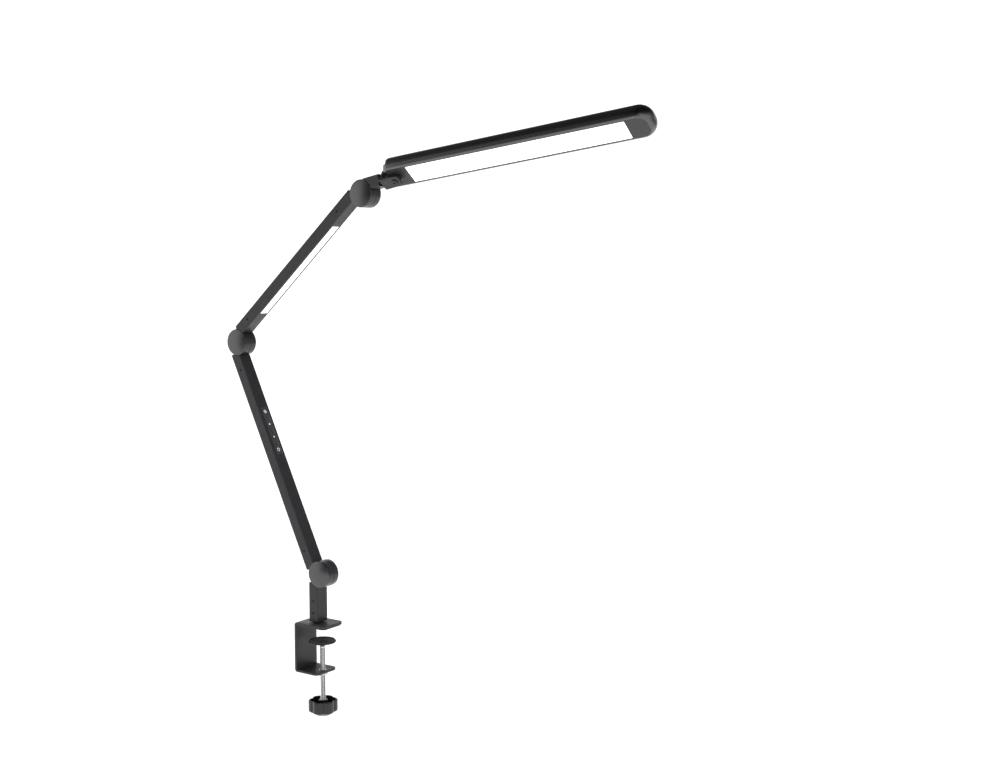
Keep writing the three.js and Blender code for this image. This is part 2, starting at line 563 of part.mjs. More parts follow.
function makeLowerArm() {
  const arm = new THREE.Group();
  const low = KNUCKLE_SCREW_SETBACK;
  const high = LOWER_LENGTH - KNUCKLE_SCREW_SETBACK;
  const recess = faceSlot(PANEL_CENTRE, PANEL_LENGTH + 2 * GAP, PANEL_WIDTH + 2 * GAP,
    PANEL_THICKNESS - PANEL_PROUD + GAP);
  const slot = faceSlot(PANEL_CENTRE, PANEL_LENGTH - 2 * PANEL_SLOT_INSET,
    PANEL_WIDTH - 2 * PANEL_SLOT_INSET, TUBE_WALL + CUT);
  const tube = hollowTube(TUBE_END_SETBACK, LOWER_LENGTH - TUBE_END_SETBACK, [0, LOWER_LENGTH])
    .subtract(tubeScrewHole(low)).subtract(tubeScrewHole(high)).subtract(recess).subtract(slot);
  const panel = box(FRONT_FACE_X - PANEL_THICKNESS + PANEL_PROUD, FRONT_FACE_X + PANEL_PROUD,
    -PANEL_WIDTH / 2, PANEL_WIDTH / 2, PANEL_CENTRE - PANEL_LENGTH / 2, PANEL_CENTRE + PANEL_LENGTH / 2);
  const boardFace = FRONT_FACE_X - TUBE_WALL - GAP;
  const boardHalf = DEPTH_INSIDE / 2 - GAP;
  const touchBoard = box(boardFace - TOUCH_BOARD_THICKNESS, boardFace, -boardHalf, boardHalf,
    PANEL_CENTRE - PANEL_LENGTH / 2, PANEL_CENTRE + PANEL_LENGTH / 2);
  arm.add(part('lower_arm_tube', tube, blackPaint));
  const bottomKnuckle = knuckle(-1, 1, PLUG_REACH).subtract(tubeScrewHole(low));
  arm.add(part('lower_arm_bottom_knuckle', bottomKnuckle, blackPaint));
  arm.add(part('lower_arm_screw_bottom', tubeScrew(low), nylon));
  arm.add(part('lower_arm_screw_top', tubeScrew(high), nylon));
  arm.add(part('touch_panel', panel, darkPlastic));
  arm.add(part('touch_board', touchBoard, board));
  addJointHardware(arm, 'joint1', false);
  const top = new THREE.Group();
  const topKnuckle = knuckle(1, -1, PLUG_REACH).subtract(tubeScrewHole(-KNUCKLE_SCREW_SETBACK));
  top.position.z = LOWER_LENGTH;
  top.add(part('lower_arm_top_knuckle', topKnuckle, blackPaint));
  addJointHardware(top, 'joint2', true);
  arm.add(top);
  return arm;
}

// ---------- upper arm with its light strip ----------
function makeUpperArm() {
  const arm = new THREE.Group();
  const low = KNUCKLE_SCREW_SETBACK;
  const high = UPPER_LENGTH - UPPER_TOP_SCREW_SETBACK;
  const recess = faceSlot(STRIP_CENTRE, STRIP_LENGTH + 2 * GAP, STRIP_WIDTH + 2 * GAP, STRIP_LEDGE);
  const slot = faceSlot(STRIP_CENTRE, STRIP_LENGTH - 2 * PANEL_SLOT_INSET,
    STRIP_WIDTH - 2 * PANEL_SLOT_INSET, TUBE_WALL + CUT);
  const tube = hollowTube(TUBE_END_SETBACK, UPPER_LENGTH - TUBE_END_SETBACK, [0, UPPER_LENGTH])
    .subtract(tubeScrewHole(low)).subtract(tubeScrewHole(high)).subtract(recess).subtract(slot);
  const face = FRONT_FACE_X - STRIP_LEDGE + GAP;
  const diffuser = box(face, face + STRIP_THICKNESS - GAP, -STRIP_WIDTH / 2, STRIP_WIDTH / 2,
    STRIP_CENTRE - STRIP_LENGTH / 2, STRIP_CENTRE + STRIP_LENGTH / 2);
  const boardTop = FRONT_FACE_X - TUBE_WALL - STRIP_BOARD_GAP;
  const boardHalf = DEPTH_INSIDE / 2 - GAP;
  const stripBoard = box(boardTop - STRIP_BOARD_THICKNESS, boardTop, -boardHalf, boardHalf,
    STRIP_CENTRE - STRIP_LENGTH / 2, STRIP_CENTRE + STRIP_LENGTH / 2);
  arm.add(part('upper_arm_tube', tube, blackPaint));
  const bottomKnuckle = knuckle(-1, 1, PLUG_REACH).subtract(tubeScrewHole(low));
  arm.add(part('upper_arm_bottom_knuckle', bottomKnuckle, blackPaint));
  arm.add(part('upper_arm_screw_bottom', tubeScrew(low), nylon));
  arm.add(part('upper_arm_screw_top', tubeScrew(high), nylon));
  arm.add(part('strip_diffuser', diffuser, milky));
  arm.add(part('strip_board', stripBoard, board));
  addJointHardware(arm, 'joint2', false);
  const top = new THREE.Group();
  const reach = UPPER_TOP_SCREW_SETBACK + PLUG_REACH - KNUCKLE_SCREW_SETBACK;
  const topKnuckle = knuckle(1, -1, reach).subtract(tubeScrewHole(-UPPER_TOP_SCREW_SETBACK));
  top.position.z = UPPER_LENGTH;
  top.add(part('upper_arm_top_knuckle', topKnuckle, blackPaint));
  addJointHardware(top, 'joint3', true);
  arm.add(top);
  return arm;
}

// ---------- neck ----------
function makeNeck() {
  const neck = new THREE.Group();
  const inside = TUBE_INSIDE / 2 - GAP;
  const insideDepth = DEPTH_INSIDE / 2 - GAP;
  const plugStart = NECK_LENGTH - END_PLUG_LENGTH;
  const tube = hollowTube(TUBE_END_SETBACK, NECK_LENGTH, [0]);
  const halfDrum = knuckle(-1, 1, plugStart - GAP);
  const plug = box(-TUBE_OFFSET - inside, -TUBE_OFFSET + inside, -insideDepth, insideDepth,
    plugStart, NECK_LENGTH);
  const bore = barZ(ROLL_BOLT_RADIUS + GAP, plugStart - CUT, NECK_LENGTH + CUT, -TUBE_OFFSET);
  const endPlug = plug.subtract(bore);
  neck.add(part('neck_tube', tube, blackPaint));
  neck.add(part('neck_knuckle', halfDrum, blackPaint));
  neck.add(part('neck_end_plug', endPlug, blackPaint));
  addJointHardware(neck, 'joint3', false);
  return neck;
}

// ---------- head bracket ----------
// Local frame: on the neck axis at the third joint's distance zero, +Z along the neck,
// -X up towards the light bar, Y across. The leg stands against the neck's end, the
// tongue reaches under the light bar and ends in a half round about the swing axis.
const LEG_START = NECK_LENGTH + ROLL_WASHER_THICKNESS + 2 * GAP;
const LEG_END = LEG_START + BRACKET_LEG;
const TONGUE_TOP = BRACKET_DROP - TONGUE_THICKNESS;

function bracketProfile() {
  const shape = new THREE.Shape();
  shape.moveTo(BRACKET_DROP, -LEG_START);
  shape.lineTo(BRACKET_DROP, -PIVOT_DISTANCE - BRACKET_HALF_WIDTH);
  shape.lineTo(TONGUE_TOP, -PIVOT_DISTANCE - BRACKET_HALF_WIDTH);
  shape.lineTo(TONGUE_TOP, -LEG_END - BRACKET_FILLET);
  shape.absarc(TONGUE_TOP - BRACKET_FILLET, -LEG_END - BRACKET_FILLET, BRACKET_FILLET, 0, Math.PI / 2);
  shape.lineTo(-BRACKET_RISE, -LEG_END);
  shape.lineTo(-BRACKET_RISE, -LEG_START);
  return shape;
}

// Side web: a hollow quarter-ellipse from the leg, just under the bar, down to the tongue.
function webProfile() {
  const top = -HEAD_UNDERSIDE + BRACKET_WEB_CLEAR;
  const shape = new THREE.Shape();
  shape.moveTo(BRACKET_DROP - CUT, -LEG_START - CUT);
  shape.lineTo(BRACKET_DROP - CUT, -BRACKET_WEB_END);
  shape.lineTo(TONGUE_TOP, -BRACKET_WEB_END);
  shape.absellipse(top, -BRACKET_WEB_END, TONGUE_TOP - top, BRACKET_WEB_END - LEG_END, 0, Math.PI / 2);
  shape.lineTo(top, -LEG_START - CUT);
  return shape;
}

// An outline drawn with X as it is and Z turned over, run across the bracket.
function bracketSlab(shape, y0, y1, curveSegments) {
  const geometry = new THREE.ExtrudeGeometry(shape, { depth: y1 - y0, bevelEnabled: false, curveSegments });
  geometry.translate(0, 0, y0);
  geometry.rotateX(-Math.PI / 2);
  return solid(geometry);
}

function headBracket() {
  const half = BRACKET_HALF_WIDTH;
  const body = bracketSlab(bracketProfile(), -half, half, 6)
    .add(bracketSlab(webProfile(), -half, BRACKET_WEB - half, 12))
    .add(bracketSlab(webProfile(), half - BRACKET_WEB, half, 12));
  const roundEnd = barX(half, -BRACKET_RISE - CUT, BRACKET_DROP + CUT, 0, PIVOT_DISTANCE, ROUND);
  const straight = box(-BRACKET_RISE - CUT, BRACKET_DROP + CUT, -half - CUT, half + CUT, 0, PIVOT_DISTANCE);
  const rollBore = barZ(ROLL_BOLT_RADIUS + GAP, LEG_START - CUT, LEG_END + CUT);
  const sinkDepth = ROLL_BOLT_HEAD_RADIUS - ROLL_BOLT_RADIUS;
  const sink = coneZ(ROLL_BOLT_RADIUS + GAP, ROLL_BOLT_HEAD_RADIUS + GAP, LEG_END - sinkDepth, LEG_END);
  const sinkMouth = barZ(ROLL_BOLT_HEAD_RADIUS + GAP, LEG_END, LEG_END + CUT);
  const pivotBore = barX(PIVOT_BOLT_RADIUS + GAP, TONGUE_TOP - CUT, BRACKET_DROP + CUT, 0, PIVOT_DISTANCE);
  return body.intersect(roundEnd.add(straight)).subtract(rollBore).subtract(sink).subtract(sinkMouth)
    .subtract(pivotBore);
}

function rollWasher() {
  const low = NECK_LENGTH + GAP;
  const ring = barZ(ROLL_WASHER_RADIUS, low, low + ROLL_WASHER_THICKNESS, 0, 0, ROUND);
  return ring.subtract(barZ(ROLL_BOLT_RADIUS + GAP, low - CUT, low + CUT));
}

// Countersunk bolt that lies flush in the leg; its shank turns in the neck's end plug.
function rollBolt() {
  const sinkDepth = ROLL_BOLT_HEAD_RADIUS - ROLL_BOLT_RADIUS;
  const head = coneZ(ROLL_BOLT_RADIUS, ROLL_BOLT_HEAD_RADIUS - GAP, LEG_END - sinkDepth + GAP, LEG_END);
  const shank = barZ(ROLL_BOLT_RADIUS, LEG_END - ROLL_BOLT_LENGTH, LEG_END - sinkDepth + 2 * GAP);
  return head.add(shank);
}

function makeBracket() {
  const bracket = new THREE.Group();
  bracket.add(part('head_bracket', headBracket(), blackPaint));
  bracket.add(part('roll_washer', rollWasher(), nylon));
  bracket.add(part('roll_bolt', rollBolt(), steel));
  return bracket;
}

// ---------- light bar ----------
// Local frame: on the swing axis at the underside of the bar, +Z along the bar, -X up.
const HEAD_LOW = -HEAD_TAIL;
const HEAD_HIGH = HEAD_LENGTH - HEAD_TAIL;

// A slab whose outline lies in Y and Z, between two heights above the underside.
function slab(z0, z1, halfWidth, corner, low, high) {
  const shape = outline(z0, z1, -halfWidth, halfWidth, corner, corner);
  const settings = { depth: high - low, bevelEnabled: false, curveSegments: 6 };
  const geometry = new THREE.ExtrudeGeometry(shape, settings);
  geometry.translate(0, 0, low);
  geometry.rotateY(-Math.PI / 2);
  return solid(geometry);
}

// The bar's outer form, shrunk by the wall on every side for its hollow.
function barBody(wall) {
  const inset = HEAD_EDGE;
  const half = HEAD_WIDTH / 2 - inset;
  const corner = HEAD_CORNER - inset;
  const shape = outline(HEAD_LOW + inset, HEAD_HIGH - inset, -half, half, corner, corner);
  const geometry = new THREE.ExtrudeGeometry(shape, {
    depth: HEAD_HEIGHT - 2 * inset,
    bevelEnabled: true,
    bevelThickness: inset - wall,
    bevelSize: inset - wall,
    bevelSegments: 4,
    curveSegments: 6,
  });
  geometry.translate(0, 0, inset);
  geometry.rotateY(-Math.PI / 2);
  return solid(geometry);
}

const OPENING_HALF = HEAD_WIDTH / 2 - HEAD_EDGE + GAP;
const OPENING_LOW = HEAD_LOW + HEAD_EDGE - GAP;
const OPENING_HIGH = HEAD_HIGH - HEAD_EDGE + GAP;
const OPENING_CORNER = HEAD_CORNER - HEAD_EDGE;

function headShell() {
  const roof = HEAD_HEIGHT - SHELL_WALL;
  const opening = slab(OPENING_LOW, OPENING_HIGH, OPENING_HALF, OPENING_CORNER, -CUT, HEAD_HEIGHT / 2);
  const hollow = barBody(SHELL_WALL).add(opening);
  const boss = barX(SHELL_BOSS_RADIUS, -HEAD_HEIGHT + SHELL_WALL / 2, -BEZEL_THICKNESS - GAP);
  const bore = barX(PIVOT_BOLT_RADIUS + GAP, -roof + SHELL_WALL, CUT);
  return barBody(0).subtract(hollow).add(boss).subtract(bore);
}

function headBezel() {
  const plate = slab(OPENING_LOW + GAP, OPENING_HIGH - GAP, OPENING_HALF - GAP, OPENING_CORNER - GAP, 0,
    BEZEL_THICKNESS);
  const windowCut = slab(DIFFUSER_START - GAP, DIFFUSER_START + DIFFUSER_LENGTH + GAP,
    DIFFUSER_WIDTH / 2 + GAP, GAP, -CUT, BEZEL_THICKNESS + CUT);
  const bore = barX(PIVOT_BOLT_RADIUS + GAP, -BEZEL_THICKNESS - CUT, CUT);
  return plate.subtract(windowCut).subtract(bore);
}

// Layers above the window: diffuser, light guide, reflecting sheet, and a row of lamps
// on a narrow board along each long edge of the guide.
function makeLayers(head) {
  const z0 = DIFFUSER_START;
  const z1 = DIFFUSER_START + DIFFUSER_LENGTH;
  const half = DIFFUSER_WIDTH / 2;
  const guideLow = DIFFUSER_THICKNESS + GAP;
  const guideHigh = guideLow + GUIDE_THICKNESS;
  const sheetLow = guideHigh + GAP;
  const boardInner = half - LED_BOARD_THICKNESS;
  head.add(part('head_diffuser', box(-DIFFUSER_THICKNESS, 0, -half, half, z0, z1), milky));
  head.add(part('light_guide', box(-guideHigh, -guideLow, -boardInner + GAP, boardInner - GAP,
    z0, z1), clear));
  head.add(part('reflector_sheet', box(-sheetLow - SHEET_THICKNESS, -sheetLow, -boardInner + GAP,
    boardInner - GAP, z0, z1), milky));
  for (const [name, side] of [['led_board_near', -1], ['led_board_far', 1]]) {
    const y0 = Math.min(side * boardInner, side * half);
    const y1 = Math.max(side * boardInner, side * half);
    head.add(part(name, box(-guideLow - LED_BOARD_HEIGHT, -guideLow, y0, y1, z0, z1), board));
  }
}

// Turned collar between tongue and bar, and the countersunk bolt that the bar swings on.
const PIVOT_FALL = TONGUE_TOP + HEAD_UNDERSIDE;

function pivotCollar() {
  const collar = barX(PIVOT_RADIUS, GAP, PIVOT_FALL - GAP, 0, 0, ROUND);
  return collar.subtract(barX(PIVOT_BOLT_RADIUS + GAP, -CUT, PIVOT_FALL + CUT));
}

function pivotBolt() {
  const low = PIVOT_FALL + TONGUE_THICKNESS;
  const shank = barX(PIVOT_BOLT_RADIUS, low - PIVOT_BOLT_LENGTH, low + GAP * 2);
  const head = barX(PIVOT_BOLT_HEAD_RADIUS, low + GAP, low + GAP + PIVOT_BOLT_HEAD_HEIGHT);
  return shank.add(head);
}

function makeHead() {
  const head = new THREE.Group();
  head.add(part('head_shell', headShell(), glossShell));
  head.add(part('head_bezel', headBezel(), darkPlastic));
  makeLayers(head);
  head.add(part('pivot_collar', pivotCollar(), blackPaint));
  head.add(part('pivot_bolt', pivotBolt(), steel));
  return head;
}

// ---------- assembly ----------
const lamp = new THREE.Group();

lamp.add(part('clamp_bracket', clampBracket(), blackPaint));
lamp.add(part('jaw_liner', jawLiner(), rubber));
lamp.add(part('clamp_nut', pressNut(), steel));
lamp.add(part('pad_face', padFace(), rubber));
lamp.add(part('pad_disc', padDisc(), blackPaint));
lamp.add(part('clamp_screw', clampScrew(), chrome));
lamp.add(part('clamp_knob', clampKnob(), darkPlastic));

const post = makePost();
post.position.set(POST_OFFSET + TUBE_OFFSET, 0, JAW_TOP + POST_RISE);
lamp.add(post);

const lowerArm = makeLowerArm();
lowerArm.rotation.y = rad(LOWER_LEAN);
post.add(lowerArm);

const upperArm = makeUpperArm();
upperArm.position.z = LOWER_LENGTH;
upperArm.rotation.y = rad(UPPER_LEAN - LOWER_LEAN);
lowerArm.add(upperArm);

const neck = makeNeck();
neck.position.z = UPPER_LENGTH;
neck.rotation.y = rad(NECK_LEAN - UPPER_LEAN);
upperArm.add(neck);

const bracket = makeBracket();
bracket.position.x = -TUBE_OFFSET;
bracket.rotation.z = rad(HEAD_ROLL);
neck.add(bracket);

const head = makeHead();
head.position.set(-HEAD_UNDERSIDE, 0, PIVOT_DISTANCE);
head.rotation.x = rad(-HEAD_SWING);
bracket.add(head);

export default lamp;
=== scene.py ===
# %% [markdown]
# # An architect desk lamp, clamped to a bench edge
# The lamp is a chain: a screw clamp, a short square post, two long square tubes, a neck, an
# L-shaped bracket and a light bar. Each link turns on the one before it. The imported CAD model
# holds the true sizes and the joints, so this script reads them from there, builds finer
# surfaces over the CAD nodes and gives every piece a finish with its own grain.

import json
import math

import bmesh
import bpy
import numpy as np
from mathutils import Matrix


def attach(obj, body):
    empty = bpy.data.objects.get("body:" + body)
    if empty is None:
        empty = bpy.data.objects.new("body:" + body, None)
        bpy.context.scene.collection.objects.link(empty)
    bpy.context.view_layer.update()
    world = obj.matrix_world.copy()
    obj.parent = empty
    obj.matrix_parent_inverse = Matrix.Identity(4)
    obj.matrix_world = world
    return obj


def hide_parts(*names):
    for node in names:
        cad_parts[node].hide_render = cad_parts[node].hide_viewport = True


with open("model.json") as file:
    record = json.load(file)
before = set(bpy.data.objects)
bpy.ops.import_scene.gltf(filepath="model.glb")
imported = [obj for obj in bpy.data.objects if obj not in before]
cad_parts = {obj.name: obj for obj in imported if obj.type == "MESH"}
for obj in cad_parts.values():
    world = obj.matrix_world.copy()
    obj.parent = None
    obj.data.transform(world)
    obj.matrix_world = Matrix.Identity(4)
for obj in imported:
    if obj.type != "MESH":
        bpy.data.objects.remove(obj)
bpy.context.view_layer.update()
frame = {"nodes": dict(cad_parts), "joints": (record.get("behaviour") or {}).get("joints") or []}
joints = {joint["name"]: joint for joint in frame["joints"]}

# %% [markdown]
# ## Frames of the links
# A tube that leans is awkward to describe in the lamp's own axes. Each link gets a small frame
# instead: an origin on its joint and three unit axes. A surface is then worked out in plain
# millimetres along the link and moved into place in one step. The origins and directions come
# from the joints; only the light bar's direction is read from its window.

# %% Frames
MM = 0.001
ACROSS = np.array([0.0, 1.0, 0.0])
UP = np.array([0.0, 0.0, 1.0])


def unit(vector):
    """The vector divided by its length."""
    return vector / np.linalg.norm(vector)


def place_at(origin, along, across=ACROSS):
    """A frame whose Z runs along, whose X is across x along, and whose Y is Z x X."""
    z = unit(np.asarray(along, float))
    x = unit(np.cross(across, z))
    return np.asarray(origin, float), np.stack([x, np.cross(z, x), z])


def to_lamp(points, place):
    """Local millimetres to lamp metres: origin + x X + y Y + z Z."""
    origin, axes = place
    return origin + MM * points @ axes


def to_local(points, place):
    """Lamp metres to local millimetres: the dot products with the three axes."""
    origin, axes = place
    return (points - origin) @ axes.T / MM


def vertices(mesh):
    """All the vertices of a mesh as one array."""
    flat = np.empty(len(mesh.vertices) * 3)
    mesh.vertices.foreach_get("co", flat)
    return flat.reshape(-1, 3)


def local_box(node, place):
    """Lowest and highest corners of a CAD node in a local frame, in millimetres."""
    points = to_local(vertices(frame["nodes"][node].data), place)
    return points.min(0), points.max(0)


drum_points = [np.array(joints[n]["pos_m"]) for n in ("first_drum", "second_drum", "third_drum")]
neck_direction = np.array(joints["head_roll"]["axis"])
bar_up = np.array(joints["head_swing"]["axis"])
swing_point = np.array(joints["head_swing"]["pos_m"])
window_middle = vertices(frame["nodes"]["head_diffuser"].data).mean(0) - swing_point
bar_direction = unit(window_middle - bar_up * (window_middle @ bar_up))

clamp_place = place_at((0, 0, 0), UP)
post_place = place_at(drum_points[0], UP)
lower_place = place_at(drum_points[0], drum_points[1] - drum_points[0])
upper_place = place_at(drum_points[1], drum_points[2] - drum_points[1])
neck_place = place_at(drum_points[2], neck_direction)
bracket_place = place_at(joints["head_roll"]["pos_m"], neck_direction, np.cross(bar_up, -neck_direction))
bar_place = place_at(swing_point, bar_up, np.cross(bar_up, bar_direction))
print("light bar box:", *[np.round(v, 2) for v in local_box("head_shell", bar_place)])
print("bracket box:", *[np.round(v, 2) for v in local_box("head_bracket", bracket_place)])

# %% [markdown]
# ## Outlines and surfaces
# Almost every piece here is either turned, extruded, or a plate with rounded edges. Three ideas
# cover them: an outline whose corners become arcs, a grid of points joined into faces, and a
# rule that says where each grid point lies. Working out the whole grid at once keeps the
# rounded edges exact, which is what catches the light on a black object.

# %% Outlines
ARC_STEPS = 5


def outline(corners, arc=ARC_STEPS, side=1):
    """Closed outline through (x, y, radius) corners. Each corner becomes an arc tangent to its two
    sides: its centre lies on the bisector at radius / sin(half angle), and the arc is the spherical
    blend of the two radii. Each straight side is split into `side` pieces."""
    points = np.array([corner[:2] for corner in corners], float)
    arcs = []
    for k, (_, _, radius) in enumerate(corners):
        here = points[k]
        if radius == 0:
            arcs.append(here[None, :])
            continue
        back = unit(points[k - 1] - here)
        ahead = unit(points[(k + 1) % len(points)] - here)
        half = math.acos(np.clip(back @ ahead, -1, 1)) / 2
        centre = here + unit(back + ahead) * radius / math.sin(half)
        first = here + back * radius / math.tan(half) - centre
        last = here + ahead * radius / math.tan(half) - centre
        turn = math.pi - 2 * half
        t = np.linspace(0, 1, arc + 1)[:, None]
        arcs.append(centre + (np.sin((1 - t) * turn) * first + np.sin(t * turn) * last) / math.sin(turn))
    rows = []
    inner = np.linspace(0, 1, side + 1)[1:-1, None]
    for k, bend in enumerate(arcs):
        following = arcs[(k + 1) % len(arcs)][0]
        rows += [bend, bend[-1] + inner * (following - bend[-1])]
    return np.vstack(rows)


def rectangle(x0, x1, y0, y1, radius, arc=ARC_STEPS, side=1):
    """Rounded rectangle as an outline, counter-clockwise from the corner at x0, y0."""
    return outline([(x0, y0, radius), (x1, y0, radius), (x1, y1, radius), (x0, y1, radius)], arc, side)


square = rectangle(0, 10, 0, 10, 2)
print("a rounded square has", len(square), "points")

# %% Surfaces
WELD = 2e-7
CREASE = 35


def add_object(name, data):
    """A new object at the origin, linked into the scene."""
    thing = bpy.data.objects.new(name, data)
    bpy.context.collection.objects.link(thing)
    return thing


def surface(name, points, place, wrap=True):
    """A mesh from a grid points[row, column] in local millimetres. Columns close on themselves,
    rows close too when wrap is true, and rows that shrink to a point or a line are welded shut."""
    rows, columns = points.shape[:2]
    row = np.arange(rows if wrap else rows - 1)[:, None]
    column = np.arange(columns)[None, :]
    next_row, next_column = (row + 1) % rows, (column + 1) % columns
    corners = [row * columns + column, row * columns + next_column,
               next_row * columns + next_column, next_row * columns + column]
    faces = np.stack([np.broadcast_to(c, corners[1].shape) for c in corners], -1).reshape(-1, 4)
    mesh = bpy.data.meshes.new(name)
    mesh.from_pydata(to_lamp(points.reshape(-1, 3), place), [], faces.tolist())
    return tidy(add_object(name, mesh), place)


def tidy(piece, place):
    """Welds doubled points, turns the faces outwards by the sign of the enclosed volume, keeps only
    the sharp creases sharp, and stores each point's local millimetres for the finishes."""
    work = bmesh.new()
    work.from_mesh(piece.data)
    bmesh.ops.remove_doubles(work, verts=work.verts, dist=WELD)
    bmesh.ops.dissolve_degenerate(work, edges=work.edges, dist=WELD)
    if work.calc_volume(signed=True) < 0:
        bmesh.ops.reverse_faces(work, faces=work.faces)
    work.to_mesh(piece.data)
    work.free()
    piece.data.shade_smooth()
    piece.data.set_sharp_from_angle(angle=math.radians(CREASE))
    local = to_local(vertices(piece.data), place).astype(np.float32)
    stored = piece.data.attributes.get("local") or piece.data.attributes.new("local", "FLOAT_VECTOR", "POINT")
    stored.data.foreach_set("vector", local.ravel())
    return piece


def around(sides):
    """Evenly spaced angles of one turn, as a row."""
    return np.linspace(0, 2 * math.pi, sides, endpoint=False)[None, :]


def swept(radius, height, angle):
    """Grid points round the Z axis: (radius cos a, radius sin a, height)."""
    return np.stack([radius * np.cos(angle), radius * np.sin(angle), height + 0 * angle], -1)


def turned(name, profile, place, sides=96):
    """A turned piece: the profile (radius, height) swept round the frame's Z axis. A profile that
    starts on the axis also ends there; any other closes on itself."""
    grid = swept(profile[:, :1], profile[:, 1:], around(sides))
    return surface(name, grid, place, wrap=profile[0][0] > 0)


ARC_SIDES = 9


def plate(name, box, corner, profile, place, side=6):
    """A plate with rounded corners. Each profile point (inset, height) gives one ring: the plan
    rectangle pulled in by inset on every side, its corner radii reduced by the same amount. The
    corner is one radius, or one for the low end and one for the high end in x."""
    x0, x1, y0, y1 = box
    corners = np.broadcast_to(corner, 2)
    limit = min(x1 - x0, y1 - y0) / 2 - 1e-6
    rings = []
    for inset, height in profile:
        pull = min(inset, limit)
        low_r, high_r = np.minimum(np.maximum(corners - inset, 1e-3), limit - pull + 1e-7)
        ring = outline([(x0 + pull, y0 + pull, low_r), (x1 - pull, y0 + pull, high_r),
                        (x1 - pull, y1 - pull, high_r), (x0 + pull, y1 - pull, low_r)], ARC_SIDES, side)
        rings.append(np.column_stack([ring, np.full(len(ring), height)]))
    return surface(name, np.stack(rings), place, wrap=profile[0][0] < limit)


def plan(low, high):
    """The x and y limits of a box, as a plate takes them."""
    return low[0], high[0], low[1], high[1]


def slab(name, box, corner, low_height, high_height, edge, place, side=6):
    """A solid plate between two heights with both rims rounded; its flat faces close on the
    middle line, half the shorter side in from the rim."""
    half = min(box[1] - box[0], box[3] - box[2]) / 2
    profile = outline([(half, high_height, 0), (0, high_height, edge), (0, low_height, edge),
                       (half, low_height, 0)])
    return plate(name, box, corner, profile, place, side)


def combine(piece, tool, operation, place):
    """Joins or cuts two solids exactly, and removes the tool."""
    modifier = piece.modifiers.new("solid", "BOOLEAN")
    modifier.object, modifier.operation, modifier.solver = tool, operation, "EXACT"
    graph = bpy.context.evaluated_depsgraph_get()
    mesh = bpy.data.meshes.new_from_object(piece.evaluated_get(graph))
    piece.modifiers.clear()
    piece.data = mesh
    bpy.data.objects.remove(tool)
    return tidy(piece, place)


# %% [markdown]
# ## Finishes
# Nearly everything is black, yet no two blacks on the lamp are alike: powder coat has a faint
# orange peel, the anodised tubes show fine draw lines, the drum discs are turned metal, the bar
# is polished, the knob is moulded. Black shows its finish through roughness and tiny bumps
# rather than colour, so one helper makes a finish from a fine noise at the real grain size and a
# broad one for handling. Grain follows the piece because the points carry local millimetres.

# %% Finish helpers
HAND = 28
made = {}


def start_finish(name, roughness, metallic=0.0, coat=0.0, specular=0.5):
    """A material with its fixed values set; returns it with its nodes, links and shader."""
    material = bpy.data.materials.new(name)
    material.use_nodes = True
    nodes, links = material.node_tree.nodes, material.node_tree.links
    shader = nodes["Principled BSDF"]
    shader.inputs["Roughness"].default_value = roughness
    shader.inputs["Metallic"].default_value = metallic
    shader.inputs["Coat Weight"].default_value = coat
    shader.inputs["Coat Roughness"].default_value = 0.2
    shader.inputs["Specular IOR Level"].default_value = specular
    made[name] = material
    return material, nodes, links, shader


def millimetres(nodes, links, grain, stored=True):
    """Positions divided by the grain size: from the stored local millimetres, or from Object
    coordinates in metres on a CAD node."""
    mapping = nodes.new("ShaderNodeMapping")
    if stored:
        source = nodes.new("ShaderNodeAttribute")
        source.attribute_name = "local"
        links.new(source.outputs["Vector"], mapping.inputs["Vector"])
        mapping.inputs["Scale"].default_value = [1 / g for g in grain]
    else:
        source = nodes.new("ShaderNodeTexCoord")
        links.new(source.outputs["Object"], mapping.inputs["Vector"])
        mapping.inputs["Scale"].default_value = [1 / (g * MM) for g in grain]
    return mapping.outputs["Vector"]


def noise(nodes, links, vector, detail=3.0, dimensions="3D"):
    """A noise of about unit grain on the given positions."""
    texture = nodes.new("ShaderNodeTexNoise")
    texture.noise_dimensions = dimensions
    texture.inputs["Scale"].default_value = 1.0
    texture.inputs["Detail"].default_value = detail
    links.new(vector, texture.inputs["W" if dimensions == "1D" else "Vector"])
    return texture.outputs["Fac"]


def ranged(nodes, links, value, limits, smooth=False):
    """A value carried from one range to another; the limits are from, from, to, to."""
    scale = nodes.new("ShaderNodeMapRange")
    scale.interpolation_type = "SMOOTHSTEP" if smooth else "LINEAR"
    for socket, limit in zip(("From Min", "From Max", "To Min", "To Max"), limits):
        scale.inputs[socket].default_value = limit
    links.new(value, scale.inputs["Value"])
    return scale.outputs["Result"]


def spread(nodes, links, factor, low, high):
    """A noise, most of which lies from 0.3 to 0.7, carried to the range low to high."""
    return ranged(nodes, links, factor, (0.3, 0.7, low, high))


def blend(nodes, links, factor, colour_a, colour_b):
    """Two colours mixed by the factor."""
    mix = nodes.new("ShaderNodeMix")
    mix.data_type = "RGBA"
    links.new(factor, mix.inputs["Factor"])
    for socket, colour in (("A", colour_a), ("B", colour_b)):
        target = [s for s in mix.inputs if s.name == socket and s.type == "RGBA"][0]
        target.default_value = (*colour, 1)
    return [s for s in mix.outputs if s.type == "RGBA"][0]


def two_tone(nodes, links, factor, colour_a, colour_b, target):
    """Sends a socket two colours mixed by a noise, from all of one to all of the other."""
    links.new(blend(nodes, links, spread(nodes, links, factor, 0, 1), colour_a, colour_b), target)


def emboss(nodes, links, height, depth, shader):
    """A bump of the given depth in millimetres."""
    bump = nodes.new("ShaderNodeBump")
    bump.inputs["Distance"].default_value = depth * MM
    links.new(height, bump.inputs["Height"])
    links.new(bump.outputs["Normal"], shader.inputs["Normal"])


